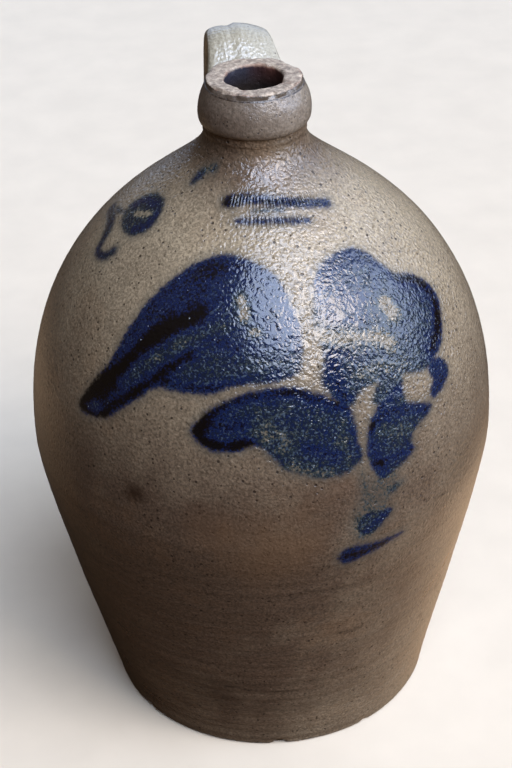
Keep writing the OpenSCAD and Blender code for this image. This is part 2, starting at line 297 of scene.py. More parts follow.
def inner_wall(s, depth):
    """Half section of the inside, from the root of the neck down to the floor's centre."""
    wall = chain(low_wall(s), high_wall(s))
    wall = wall - depth * outward(wall)
    floor_z = s.floor + depth - s.wall
    corner = FLOOR_CORNER
    turn_z = floor_z + corner
    turn_r = np.interp(turn_z, wall[:, 1], wall[:, 0])
    fillet = bezier(
        (turn_r - corner, floor_z), (turn_r - corner / 2, floor_z), (turn_r, floor_z + corner / 3),
        (turn_r, turn_z), 14,
    )
    return chain([(0, floor_z)], fillet, wall[wall[:, 1] > turn_z])[::-1]


# The direction in which the axis shifts
WANDER_TURN = math.radians(11)


def wander(z, rim):
    """Sideways shift of the axis at a height: a shallow bow, as the outline in the photograph has."""
    share = z / rim
    return (1.44 - 5.16 * share + 4.44 * share ** 2) * MM


def waves(phi, z, radius, reach, count, seed):
    """Smooth random relief of about one on a wall of this radius: the mean of waves that run
    round and up it in all directions, each a whole number of times round."""
    draw = np.random.default_rng(seed)
    total = np.zeros((len(z), len(phi)))
    for _ in range(count):
        heading, stretch = draw.uniform(0, math.pi), draw.uniform(0.7, 1.6)
        phase = draw.uniform(0, 2 * math.pi)
        crest = 2 * math.pi / (reach * stretch)
        turns = round(crest * radius * math.cos(heading))
        total += np.cos(turns * phi[None, :] + crest * math.sin(heading) * z[:, None] + phase)
    return total / math.sqrt(count)


def finger_rings(phi, z):
    """Spiral ridges of the throwing: each climbs one pitch in one turn round the jug."""
    total, turns = 0, phi[None, :] / (2 * math.pi)
    for pitch, share, phase in ((7.3 * MM, 0.5, 0.4), (11.9 * MM, 0.4, 2.1), (4.4 * MM, 0.25, 4.0)):
        total = total + share * np.cos(2 * math.pi * (z[:, None] / pitch - turns) + phase)
    return total


# Chips out of the round edge of the foot: degrees, half width in degrees, depth. The height of
# their middle and their half height are the same for all
FOOT_CHIPS = ((-9, 2.6, 1.3 * MM), (24, 1.6, 0.7 * MM), (-62, 2.2, 0.8 * MM), (131, 3, 1 * MM))
CHIP_MIDDLE = 1 * MM
CHIP_HALF = 2.4 * MM

# The wall stands no further off than this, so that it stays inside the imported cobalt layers
RELIEF_LIMIT = 0.42 * MM


def body_relief(phi, z, s):
    """How far the wall stands off its half section: uneven throwing and finger rings, both
    fainter higher up, less the chips."""
    around = 100 * MM
    broad, close = waves(phi, z, around, 150 * MM, 10, 3), waves(phi, z, around, 45 * MM, 14, 8)
    uneven = s.dent_depth * (0.7 * broad + 0.25 * close)
    strength = np.interp(z, [0, 100 * MM, 190 * MM, s.root_height], [1, 0.8, 0.35, 0.15])[:, None]
    calm = np.interp(z, [s.root_height, s.collar_foot], [1, 0.35])[:, None]
    chip = np.zeros((len(z), len(phi)))
    for place, half, depth in FOOT_CHIPS:
        bite = np.exp(-(((np.degrees(phi) - place) / half) ** 4))[None, :]
        chip += depth * bite * np.exp(-(((z[:, None] - CHIP_MIDDLE) / CHIP_HALF) ** 2))
    relief = calm * uneven + s.ring_depth * strength * finger_rings(phi, z) - chip
    return np.minimum(relief, RELIEF_LIMIT)


def turn(rows, normals, phi, relief, s):
    """Turns a half section round the wandering axis. A point is its row moved along the row's
    normal by the relief, then carried round by the angle."""
    radius = rows[:, :1] + relief * normals[:, :1]
    height = np.maximum(rows[:, 1:] + relief * normals[:, 1:], 0)
    shift = wander(rows[:, 1:], s.rim_height)
    x = radius * np.sin(phi)[None, :] + shift * math.cos(WANDER_TURN)
    y = -radius * np.cos(phi)[None, :] - shift * math.sin(WANDER_TURN)
    return np.stack([x, y, height + 0 * x], axis=2)


def grid_normals(grid, ahead=None, behind=None):
    """Normals of a turned grid: the cross product of its steps round and along. The step along
    runs between the rows on both sides, or between two grids beside it."""
    around = np.roll(grid, -1, axis=1) - np.roll(grid, 1, axis=1)
    if ahead is None:
        ahead, behind = np.roll(grid, -1, axis=0), np.roll(grid, 1, axis=0)
    along = ahead - behind
    normal = np.cross(around, along)
    return normal / np.maximum(np.linalg.norm(normal, axis=2, keepdims=True), 1e-12)


def closed_mesh(name, grid, normals, poles=False):
    """A closed mesh of a grid that wraps round in its columns. With poles its first and last
    rows are single points on the axis, and without them its rows wrap round as well."""
    count, sides = grid.shape[:2]
    first = np.arange(1, count - 2) if poles else np.arange(count)
    rows = first[:, None] * sides
    ahead = ((first + 1) % count)[:, None] * sides
    side, beside = np.arange(sides)[None, :], (np.arange(sides)[None, :] + 1) % sides
    faces = np.stack([rows + side, rows + beside, ahead + beside, ahead + side], axis=2)
    faces = faces.reshape(-1, 4)
    points, facing = grid.reshape(-1, 3), normals.reshape(-1, 3)
    corners, sizes = faces.ravel(), np.full(len(faces), 4)
    if poles:
        keep = np.concatenate([[0], np.arange(sides, (count - 1) * sides), [(count - 1) * sides]])
        points, facing = points[keep], facing[keep].copy()
        corners = corners - sides + 1
        last = len(points) - 1
        ring, following = side[0], beside[0]
        low = np.stack([0 * ring, following + 1, ring + 1], axis=1)
        high_start = last - sides
        high = np.stack([high_start + ring, high_start + following, 0 * ring + last], axis=1)
        corners = np.concatenate([corners, low.ravel(), high.ravel()])
        sizes = np.concatenate([sizes, np.full(2 * sides, 3)])
        facing[0] = (0, 0, -1) if grid[1, :, 2].mean() >= grid[0, 0, 2] - 1e-6 else facing[0]
        facing[last] = (0, 0, 1)
    mesh = bpy.data.meshes.new(name)
    mesh.vertices.add(len(points))
    mesh.vertices.foreach_set("co", points.astype(np.float32).ravel())
    mesh.loops.add(len(corners))
    mesh.loops.foreach_set("vertex_index", corners.astype(np.int32))
    mesh.polygons.add(len(sizes))
    starts = np.concatenate([[0], np.cumsum(sizes)[:-1]]).astype(np.int32)
    mesh.polygons.foreach_set("loop_start", starts)
    mesh.polygons.foreach_set("use_smooth", np.ones(len(sizes), bool))
    mesh.update(calc_edges=True)
    mesh.validate()
    mesh.normals_split_custom_set_from_vertices(facing)
    return mesh


def show(name, mesh, material, slot, *replaced):
    """Links a finished piece, gives it its material and hides the nodes that it stands for."""
    piece = bpy.data.objects.new(name, mesh)
    bpy.context.scene.collection.objects.link(piece)
    mesh.materials.append(material)
    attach(piece, BODY)
    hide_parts(*replaced)


def columns(fine, coarse, painted=112):
    """Angles round the jug: close together on the painted front and wider apart behind."""
    front = np.linspace(-painted, painted, int(2 * painted / fine) + 1)
    behind = np.linspace(painted, 360 - painted, int((360 - 2 * painted) / coarse) + 1)[1:-1]
    return np.radians(np.concatenate([front, behind]))


LOW_ROWS = 13


def turned_skin(s, low, high, rest, step, phi, poles):
    """Grid and normals of one thrown section, the row where its outside starts and the half
    section of that outside. The outside is a stretch of the shared outer wall, whose normals are
    taken a little past the joint so that no line shows there. The rest of its closed half
    section follows."""
    wall = outer_wall(s)
    along, facing = lengths(wall), outward(wall)
    skin = spaced(wall[wall[:, 1] <= high] if poles else between(wall, low, high), step)
    place = np.interp(skin[:, 1], wall[:, 1], along)
    if poles:
        # The foot's round edge is level at its start, so the lowest rows are placed by length
        place[:LOW_ROWS] = lengths(skin)[:LOW_ROWS] + place[0]
    grids, nudge = [], 0.25 * MM
    for shift in (0, nudge, -nudge):
        at = place + shift
        row = np.stack([np.interp(at, along, wall[:, i]) for i in (0, 1)], axis=1)
        normal = np.stack([np.interp(at, along, facing[:, i]) for i in (0, 1)], axis=1)
        grids.append(turn(row, normal, phi, body_relief(phi, row[:, 1], s), s))
    hidden = [turn(part, np.zeros_like(part), phi, 0, s) for part in rest]
    before, after = (hidden[:1], hidden[1:]) if poles else ([], hidden)
    grid = np.concatenate(before + grids[:1] + after)
    normals = grid_normals(grid)
    start = len(before[0]) if poles else 0
    normals[start:start + len(place)] = grid_normals(*grids)
    return grid, normals, start, np.stack([np.interp(place, along, wall[:, i]) for i in (0, 1)], axis=1)


# Brushed cobalt: the pigment that each mark starts from, and its outline as degrees from the
# front and millimetres above the foot

MARKS = {
    "left_leaf": (0.62, [
        (-62, 214), (-60, 225), (-55, 240), (-52, 256), (-48.5, 269), (-41.5, 280), (-33.5, 286),
        (-24.5, 288.5), (-15, 287), (-8, 284), (-3, 279), (-1, 272), (1, 264), (0.5, 255), (-1, 247),
        (-7, 244), (-17.5, 242.5), (-24, 238.5), (-31, 237.5), (-38.5, 237), (-43.5, 230), (-49.5, 220),
        (-52, 216), (-57, 213),
    ]),
    "right_leaf": (0.5, [
        (9.5, 279), (15, 283.5), (22, 285), (30, 284.5), (35, 281), (37, 277), (40.5, 271), (47.5, 266),
        (52, 259), (52.5, 252), (49, 244), (45, 236.5), (40, 232.6), (35.2, 230.8), (30, 233),
        (22, 235.5), (14.5, 234), (12, 229.5), (8.5, 229.5), (6.5, 236), (4.5, 242), (6.5, 253),
        (5.5, 262), (7, 272),
    ]),
    "right_tab": (0.72, [
        (38.5, 233), (42.4, 230.8), (44, 224), (41, 218.6), (36, 216.8), (35.2, 219.8), (37, 224.5),
        (36.2, 230.5),
    ]),
    "low_left_leaf": (0.47, [
        (-28.5, 222), (-25.5, 230), (-21.5, 235), (-15.5, 239.5), (-9.5, 241.5), (-3, 241.5),
        (3, 237.5), (8, 232.5), (11, 228), (11.7, 220), (12, 212), (12.5, 204), (9, 199), (3, 198),
        (-2.5, 202), (-6.5, 205.5), (-10, 213), (-13, 216.5), (-17, 214), (-21.5, 213), (-26, 216),
    ]),
    "low_right_leaf": (0.48, [
        (26.5, 232), (22, 229), (17, 223), (14.5, 215), (13.8, 206), (14.5, 198), (17, 189),
        (20, 191.5), (24, 194), (26.8, 198), (26.5, 203), (28, 207.5), (33, 211), (34.5, 215),
        (31, 218), (27, 222), (26.5, 227),
    ]),
    "bridge": (0.4, [
        (17.3, 227.9), (19.4, 234.4), (21.9, 238.5), (27, 238.5), (27.5, 234), (26.8, 231),
        (24.3, 226.4), (20.5, 225.1),
    ]),
    "wash": (0.1, [
        (11.9, 197.9), (13.7, 192.5), (16.3, 189.7), (21.3, 191.3), (20, 184.7), (18.2, 177.1),
        (17.6, 168.9), (15.4, 161.6), (12.9, 157.4), (10.3, 160.6), (9.5, 168.9), (10.9, 177.9),
        (12, 185),
    ]),
    "thin_stroke": (0.28, [
        (22.8, 184.5), (20, 184.5), (17.8, 180.5), (19.5, 180), (21.8, 182.2),
    ]),
    "blade": (0.42, [
        (10.8, 162), (10.6, 170), (13, 174.5), (16, 173), (19.8, 171), (17.5, 165), (13.9, 160),
    ]),
    "comma": (0.75, [
        (5.9, 149), (6.8, 154), (10, 155.6), (14.1, 154), (18, 153.4), (23.5, 152.8), (17.8, 149.2),
        (12.7, 146.6), (8, 145),
    ]),
    "ring": (0.38, [
        (-91, 286), (-92.8, 291), (-86, 297), (-76, 298.5), (-69, 296), (-66.5, 291), (-69, 286.5),
        (-76, 283), (-85, 283.5),
    ]),
    "blot": (0.5, [
        (-66, 307), (-65, 311), (-62, 312.5), (-58, 311.5), (-60, 308.5), (-62, 306.5),
    ]),
}

# Brush strokes on the marks: how much pigment each adds or leaves out, its half width and its path
STROKES = {
    "left_leaf": (
        (0.5, 3.8, [(-60, 221), (-57, 228.8), (-50.8, 239.5), (-47.2, 248.2), (-41.2, 258.7),
                    (-30, 268.5)]),
        (0.42, 2.8, [(-52.8, 217), (-49.6, 224.3), (-40.7, 238.6), (-36.7, 245.8), (-30.8, 252.6)]),
        (0.14, 4, [(-59.5, 226), (-51.6, 255), (-44.8, 271), (-34.1, 282), (-22, 285)]),
        (0.16, 8, [(-27, 281), (-37, 270.4), (-44.5, 258.7)]),
        (0.2, 4, [(-17.2, 283.8), (-9.1, 275.7), (-5, 262)]),
        (0.2, 2.6, [(-25.9, 260.9), (-16.9, 257)]),
        (0.22, 2.2, [(-37, 240), (-26.3, 240.5), (-17, 244)]),
        (-0.26, 3.2, [(-46, 240.5), (-44.3, 243.5), (-35.1, 255.4), (-21.2, 265)]),
        (-0.16, 7, [(-29, 246.5), (-15.9, 250.5), (-2.3, 251.5)]),
        (-0.75, 2.9, [(-17, 274.5), (-15.8, 268.5)]),
        (-0.6, 2.4, [(-13.2, 263.3), (-12.2, 262.8)]),
        (-0.3, 2.2, [(-59, 217.5), (-56.5, 220)]),
        (0.45, 1.5, [(-62, 216), (-57, 214), (-53, 216.5)]),
        (0.34, 4.2, [(-62, 215.5), (-58, 221), (-52, 230.5)]),
    ),
    "right_leaf": (
        (0.3, 4.2, [(10.5, 277.5), (20.1, 282), (30, 282), (36.1, 277)]),
        (0.5, 3.8, [(40, 270.5), (47.2, 263.5), (50.4, 255.3), (47.4, 245.6), (40.6, 237)]),
        (0.32, 3.2, [(9, 251), (8.2, 244.5), (9.8, 233.5)]),
        (0.2, 1.2, [(8.8, 266.4), (14.6, 262.9), (18.6, 261.6)]),
        (0.12, 5, [(12, 270), (22, 268)]),
        (-0.75, 4.4, [(30.4, 262.5), (31.4, 258.5)]),
        (-0.2, 5.5, [(16.3, 240.5), (24, 238.5), (31, 238.5)]),
        (-0.46, 4.2, [(3, 262), (6.5, 259.5), (11.9, 257.3), (17.6, 255.3), (23.4, 252.8), (27, 249)]),
    ),
    "low_left_leaf": (
        (0.42, 3.4, [(-26.5, 224), (-24.5, 230), (-15.8, 237.6), (-9, 239), (-3, 239),
                     (4, 234.5), (10.5, 230)]),
        (0.64, 2.8, [(-26.8, 221.5), (-25, 217.8), (-20.5, 215.8), (-13.8, 218)]),
        (0.3, 2.8, [(-0.8, 214), (4, 210.5), (6, 207)]),
        (0.2, 1.8, [(11.2, 218), (11.5, 206)]),
        (0.34, 4, [(-24.5, 225), (-19.8, 226), (-16, 225.5)]),
        (-0.22, 4.2, [(-10.5, 226), (-12, 220), (-7, 221), (-5.5, 216)]),
        (-0.2, 3, [(-5, 207), (-1, 201.5), (5, 199.5)]),
        (-0.14, 2.4, [(8.6, 222), (8.2, 212), (9.4, 202)]),
    ),
    "low_right_leaf": (
        (0.32, 2.4, [(15.8, 217), (19, 220.3), (25, 219), (32.5, 214)]),
        (0.28, 2.2, [(15, 199), (19, 198.3), (26, 198.5)]),
        (0.26, 2.4, [(15.6, 218), (15.2, 211), (16.2, 202), (18, 194)]),
        (0.26, 2.4, [(18.5, 224), (25.5, 229.5)]),
        (-0.16, 3, [(19, 212), (26, 208)]),
    ),
    "blade": ((0.25, 2.2, [(12.3, 162.5), (18.8, 170.6)]),),
    "comma": ((0.2, 1.8, [(7.8, 150), (13, 149.6), (18, 150.4)]),),
    "ring": (
        (0.35, 2.2, [(-90, 290.5), (-84, 294.8), (-77, 295.6)]),
        (0.4, 2.4, [(-71, 293.5), (-69.8, 289.5), (-75, 286)]),
        (-0.5, 1.5, [(-82.5, 289.3), (-73, 293)]),
    ),
}

# Thin brushed lines on bare glaze: pigment, half width and path
LINES = (
    (0.3, 1.5, [(-99, 283.5), (-93.3, 285)]),
    (0.44, 3, [(-104, 280.8), (-97.2, 280.8), (-91.3, 279.6), (-88.4, 277.2)]),
    (0.5, 2.3, [(-88.4, 277.4), (-86.2, 274.2), (-84, 271.8), (-79.1, 272.4), (-76.1, 276.2)]),
    (0.95, 3.1, [(-30, 304.4), (-25, 305)]),
    (0.8, 2.4, [(-27, 305.4), (-16, 305.8), (-2, 305), (14, 303), (33, 300)]),
    (0.75, 1.5, [(-21.5, 298.8), (-10, 299), (3, 298.4), (16.5, 297)]),
    (0.3, 0.8, [(-13, 302), (-3, 302.2), (4, 301.6)]),
    (0.24, 2.2, [(-60, 312), (-53, 314)]),
)

# Plain notches pressed across the two bands: first and last angle, height and count
NOTCHES = ((-28, 28, 304.2, 26), (-19, 14, 298.4, 15))

# Old scratches and dried cracks in the low wall: half width and path
SCARS = (
    (0.8, [(-25, 52), (-18, 50.4), (-9, 49), (-3, 48.4)]),
    (0.8, [(8, 91.5), (11, 90.6), (15, 91)]),
    (0.9, [(46, 92), (47.4, 87), (46.2, 83), (48.4, 78)]),
    (0.8, [(40, 70), (42, 66), (41.4, 62)]),
    (0.6, [(33, 163), (37, 161.6)]),
    (1.3, [(-82, 156), (-79, 147), (-76, 138), (-73.5, 129)]),
    (0.8, [(-74, 134), (-70.5, 124), (-68, 117)]),
    (0.5, [(118, 110), (131, 107.5), (140, 108)]),
    (0.5, [(-150, 70), (-139, 67), (-131, 67.6)]),
)

# The distance inside a brushed edge, in millimetres, of what lies far outside all of them
FAR_OUTSIDE = -30.0

# How far round a mark, a line and a scratch the wall is looked at, in millimetres of height, and
# how many degrees that takes for each: a degree is short high on the shoulder
MARK_REACH = 9
LINE_REACH = 6
SCAR_REACH = 2
WIDEN = 1.4

# Two marks blend from this many millimetres outside the edge of the one that covers less, over
# this distance
BLEND_START = 0.6
BLEND = 2.2

# Half width of a notch as a share of the pitch, its half height in millimetres, and how many
# millimetres its row falls in a degree
NOTCH_HALF = 0.26
NOTCH_HEIGHT = 1.5
NOTCH_SLANT = 0.03


def flowing(points, closed, per_leg=9):
    """A smooth line through points: on each leg a cubic whose slopes follow the neighbours."""
    points = np.asarray(points, float)
    before, after = np.roll(points, 1, axis=0), np.roll(points, -1, axis=0)
    if not closed:
        before[0], after[-1] = points[0], points[-1]
    slope = (after - before) / 2
    legs = len(points) if closed else len(points) - 1
    start, end = points[:legs, None], np.roll(points, -1, axis=0)[:legs, None]
    lean_in, lean_out = slope[:legs, None], np.roll(slope, -1, axis=0)[:legs, None]
    t = np.linspace(0, 1, per_leg, endpoint=False)[None, :, None]
    leg = (
        (2 * t ** 3 - 3 * t ** 2 + 1) * start + (t ** 3 - 2 * t ** 2 + t) * lean_in
        + (3 * t ** 2 - 2 * t ** 3) * end + (t ** 3 - t ** 2) * lean_out
    ).reshape(-1, 2)
    return leg if closed else np.vstack([leg, points[-1:]])


def on_wall(line, wall):
    """Places a line of degrees and millimetres on the turned wall."""
    phi, z = np.radians(line[:, 0]), line[:, 1] * MM
    radius = np.interp(z, wall[:, 1], wall[:, 0])
    return np.stack([radius * np.sin(phi), -radius * np.cos(phi), z], axis=1)


def nearest(points, line):
    """Distance from each point to the closest sample of a line."""
    best = np.full(len(points), np.inf)
    for block in np.array_split(line, max(1, len(line) // 48)):
        best = np.minimum(best, ((points[:, None, :] - block[None, :, :]) ** 2).sum(axis=2).min(axis=1))
    return np.sqrt(best)


def enclosed(angle, height, outline):
    """Whether each place lies inside an outline, by counting the edges to its right."""
    a, b = outline, np.roll(outline, -1, axis=0)
    spans = (a[None, :, 1] > height[:, None]) != (b[None, :, 1] > height[:, None])
    rise = np.where(np.abs(b[:, 1] - a[:, 1]) < 1e-9, 1e-9, b[:, 1] - a[:, 1])
    crossing = a[:, 0] + (height[:, None] - a[:, 1]) / rise * (b[:, 0] - a[:, 0])
    return (spans & (angle[:, None] < crossing)).sum(axis=1) % 2 == 1


def places(phi, z):
    """Degrees from the front and millimetres above the foot, for every row and column."""
    angle, height = np.broadcast_arrays(np.degrees(phi)[None, :], z[:, None] / MM)
    return np.stack([angle.ravel(), height.ravel()], axis=1)


def nearby(spots, line, reach, widen=1.0):
    """Which places lie within reach of the box round a line, widened in the degrees."""
    low, high = line.min(axis=0), line.max(axis=0)
    margin = np.array([reach * widen, reach])
    return np.flatnonzero(((spots > low - margin) & (spots < high + margin)).all(axis=1))


def paint_cobalt(phi, z, wall):
    """Distance inside the nearest brushed edge, in millimetres, and the pigment laid there. Each
    is a value for every row and column of the outside."""
    spots = places(phi, z)
    edge, load = np.full(len(spots), FAR_OUTSIDE), np.zeros(len(spots))

    def brush(near, signed, amount):
        """Lays one mark. Where two marks lie over each other the heavier pigment shows, with a
        soft step between them."""
        held = edge[near]
        closest = np.where(signed > held, amount, load[near])
        shared = np.clip((np.minimum(signed, held) + BLEND_START) / BLEND, 0, 1)
        load[near] = closest + shared * (np.maximum(amount, load[near]) - closest)
        edge[near] = np.maximum(signed, held)

    for name, (base, outline) in MARKS.items():
        line = flowing(outline, closed=True)
        near = nearby(spots, line, MARK_REACH, WIDEN)
        points = on_wall(spots[near], wall)
        apart = nearest(points, on_wall(line, wall)) / MM
        amount = np.full(len(near), base)
        for strength, half, path in STROKES.get(name, ()):
            stroke = nearest(points, on_wall(flowing(path, closed=False), wall)) / MM
            amount += strength * np.exp(-((stroke / half) ** 2))
        brush(near, np.where(enclosed(*spots[near].T, line), apart, -apart), amount)
    for amount, half, path in LINES:
        line = flowing(path, closed=False)
        near = nearby(spots, line, LINE_REACH, WIDEN)
        brush(near, half - nearest(on_wall(spots[near], wall), on_wall(line, wall)) / MM, amount)
    return edge, load


def press_notches(phi, z):
    """Depth of the rows of plain notches: narrow upright dents at an even spacing."""
    angle, height = np.degrees(phi)[None, :], z[:, None] / MM
    total = np.zeros((len(z), len(phi)))
    for first, last, middle, count in NOTCHES:
        pitch = (last - first) / count
        along = np.clip((angle - first) / pitch, 0, count)
        tooth = np.exp(-(((along - np.floor(along) - 0.5) / NOTCH_HALF) ** 4))
        tooth = tooth * ((along > 0) & (along < count))
        total += tooth * np.exp(-(((height - middle + NOTCH_SLANT * angle) / NOTCH_HEIGHT) ** 4))
    return total


def scarred(phi, z, wall):
    """How deep each place lies in the closest old scratch: one along its middle, fading out."""
    spots = places(phi, z)
    total = np.zeros(len(spots))
    for half, path in SCARS:
        line = flowing(path, closed=False)
        near = nearby(spots, line, SCAR_REACH)
        apart = nearest(on_wall(spots[near], wall), on_wall(line, wall)) / MM
        total[near] = np.maximum(total[near], np.exp(-((apart / half) ** 2)))
    return total


def cobalt_on(mesh, grid, start, section, phi, wall, poles):
    """Writes the painted values to the points of a piece's outside."""
    z, sides = section[:, 1], len(phi)
    edge, load = paint_cobalt(phi, z, wall)
    for name, values, elsewhere in (
        ("cobalt_edge", edge, FAR_OUTSIDE), ("cobalt_load", load, 0.0),
        ("notch", press_notches(phi, z), 0.0), ("scar", scarred(phi, z, wall), 0.0),
    ):
        whole = np.full(grid.shape[:2], elsewhere)
        whole[start:start + len(z)] = values.reshape(len(z), sides)
        flat = whole.ravel()
        if poles:
            flat = np.concatenate([flat[:1], flat[sides:-sides], flat[-1:]])
        mesh.attributes.new(name, "FLOAT", "POINT").data.foreach_set("value", flat.astype(np.float32))


# Materials. A row for a MapRange is its value, where that starts and ends, and what the node gives
# at the start and at the end. Places on the jug in these rows are in metres

# Marks of the kiln and of use: degrees, height, radius, depth of colour and tint
KILN_MARKS = (
    (-42.4, 183.6, 7 * MM, 0.9, "#2a1b12"),
    (-24, 174, 17 * MM, 0.3, "#5a4330"),
    (-9, 163, 30 * MM, 0.35, "#70553a"),
    (6, 195, 10 * MM, 0.3, "#5c4433"),
    (-28, 45, 14 * MM, 0.4, "#2a1d16"),
    (44.7, 171.1, 24 * MM, 0.4, "#4a4032"),
)
SMALL_MARK = 8 * MM

# Cobalt in glass, from the thinnest wash to the heaviest stroke
COBALT_RAMP = (
    (0.1, "#3f433c"), (0.28, "#222e31"), (0.42, "#111b29"), (0.58, "#0a1730"), (0.72, "#0b1d44"),
    (0.84, "#040920"), (1.0, "#010105"),
)


def kiln_mark_centre(angle, height):
    """A mark's place on the wall, in metres."""
    spot = on_wall(np.array([[angle, height]]), outer_wall(bpy.context.scene.jug_sizes))[0]
    return tuple(float(v) for v in spot)


def salt_glazed_stoneware(look):
    """Salt-glazed stoneware: grey-tan clay under a thin clear skin of glass that salt vapour left
    in the kiln. It gives the eye an orange-peel gloss, iron specks, browner clay low down that is
    partly painted shade, and cobalt that sinks into the glass with soft mottled edges."""
    material, add = new_material("salt_glazed_stoneware")
    place = add("TexCoord", out="Object")
    split = add("SeparateXYZ", [place], None)
    x, z = split["X"], split["Z"]
    patch = add("TexNoise", (place, across(26), 4, 0.6))
    fringe = add("TexNoise", (place, across(2.4), 3, 0.65))
    grain = add("TexNoise", (place, across(1.3), 2, 0.7))

    # Broad tone: warm brown low and on the left, grey tan high, on the right and at the foot, with a
    # cloudy drift. The tan on the right is partly the glaze's own tone and partly painted light from that
    # side. The brown low down and on the left is partly the clay's own colour and partly painted shade,
    # and the darkening round the neck is painted shade under the collar
    cloud = add("TexNoise", (place, across(120), 3))
    tone = add("MapRange", (z, 0.18, 0.3, 0, 0.89))
    for row in (
        (x, -0.02, 0.11, 0, 0.28), (z, 0.075, 0.01, 0, 0.2), (z, 0.292, 0.314, 0, -0.8),
        (cloud, 0.3, 0.7, -0.12, 0.12), (patch, 0.3, 0.7, -0.12, 0.12),
    ):
        tone = add("Math", (tone, add("MapRange", row)), operation="ADD")
    clay = add("Mix", (tone, look.brown_clay, look.tan_clay), data_type="RGBA")

    # Streaks of the throwing on the low wall, drawn out round the jug
    drawn = add("Mapping", {"Vector": place, "Scale": (6, 6, 240)})
    streak = add("TexNoise", (drawn, 1, 4))
    streaky = add("VectorMath", (clay, add("MapRange", (streak, 0.3, 0.7, 0.82, 1.18))), operation="SCALE")
    clay = add("Mix", (add("MapRange", (z, 0.2, 0.06)), clay, streaky), data_type="RGBA")

    # Flashing: patches toasted orange
    flash = add("MapRange", (add("TexNoise", (place, across(60), 5, 0.65)), 0.55, 0.78, 0, 0.35))
    clay = add("Mix", (flash, clay, look.toasted_clay), data_type="RGBA")

    # Fine grain of the clay, drawn near 1 mm so that it shows
    clay = add("VectorMath", (clay, add("MapRange", (grain, 0.32, 0.68, 0.58, 1.42))), operation="SCALE")

    # Iron specks: a few of the cells hold one
    cell = add("TexVoronoi", {"Vector": place, "Scale": across(2.6)}, None)
    picked = add("SeparateColor", [cell["Color"]], None)
    reach = add("MapRange", (picked["Green"], 0, 1, 0.07, 0.33))
    within = add("Math", (reach, cell["Distance"]), operation="SUBTRACT")
    spot = add("MapRange", (within, 0, 0.07, 0, 0.85))
    chosen = add("Math", (picked["Red"], 0.54), operation="GREATER_THAN")
    speck = add("Math", (spot, chosen), operation="MULTIPLY")
    clay = add("Mix", (speck, clay, look.iron_speck), data_type="RGBA")

    # Marks of the kiln and of use, each a round stain with a ragged edge
    for angle, height, radius, depth, tint in KILN_MARKS:
        away = add("VectorMath", (place, kiln_mark_centre(angle, height)), operation="DISTANCE")
        torn = fringe if radius < SMALL_MARK else patch
        ragged = add("Math", (torn, radius * 1.3, away), operation="MULTIPLY_ADD")
        row = (ragged, radius * 1.9, radius * 0.7, 0, depth)
        mask = add("MapRange", row, interpolation_type="SMOOTHSTEP")
        clay = add("Mix", (mask, clay, linear(tint)), data_type="RGBA")

    # Scratches, broken up by the fringe and filled with dirt
    scar = add("Attribute", out="Fac", attribute_name="scar")
    dirt = add("Math", (scar, add("MapRange", (fringe, 0.3, 0.46, 0, 0.95))), operation="MULTIPLY")
    clay = add("Mix", (dirt, clay, look.iron_speck), data_type="RGBA")

    # Cobalt: a soft ragged edge, then pigment that mottles as the glass thins
    edge = add("Attribute", out="Fac", attribute_name="cobalt_edge")
    load = add("Attribute", out="Fac", attribute_name="cobalt_load")
    frayed = add("Math", (fringe, 4, edge), operation="MULTIPLY_ADD")
    frayed = add("Math", (grain, 3, frayed), operation="MULTIPLY_ADD")
    cover = add("MapRange", (frayed, 1.8, 5), interpolation_type="SMOOTHSTEP")
    halo = add("MapRange", (frayed, -1.5, 3.5, 0, 0.35))
    tinged = add("Mix", (halo, clay, linear("#3d4340")), data_type="RGBA")
    mottle = add("TexNoise", (place, across(7), 4, 0.7))
    rows = (mottle, 0.3, 0.7, -0.13, 0.13), (grain, 0.3, 0.7, 0.24, -0.24)
    uneven = add("Math", [add("MapRange", row) for row in rows], operation="ADD")
    laid = add("Math", (load, uneven), operation="ADD", use_clamp=True)
    blue = add("ValToRGB", [laid], stops=COBALT_RAMP)
    opaque = add("MapRange", (laid, 0, 0.3), interpolation_type="SMOOTHSTEP")
    hiding = add("Math", (opaque, cover), operation="MULTIPLY")
    pigment = add("Math", (laid, cover), operation="MULTIPLY")
    painted = add("Mix", (hiding, tinged, blue), data_type="RGBA")

    # Fine crystals in the glass fleck the cobalt with grey blue, but not its thickest strokes
    crystal = add("TexNoise", (place, across(1.25), 1))
    flecks = add("MapRange", (crystal, 0.56, 0.67, 0, 0.55))
    for part in (add("MapRange", (load, 0.9, 0.55)), hiding):
        flecks = add("Math", (flecks, part), operation="MULTIPLY")
    painted = add("Mix", (flecks, painted, linear("#4a5966")), data_type="RGBA")

    # Bubbles that burst in the glass over the cobalt leave pale pinpricks
    bubble = add("TexVoronoi", {"Vector": place, "Scale": across(3.1)}, None)
    picked = add("SeparateColor", [bubble["Color"]], "Blue")
    prick = add("MapRange", (bubble["Distance"], 0.13, 0.07))
    for part in (add("Math", (picked, 0.8), operation="GREATER_THAN"), hiding):
        prick = add("Math", (prick, part), operation="MULTIPLY")
    painted = add("Mix", (prick, painted, linear("#8f9aa6")), data_type="RGBA")

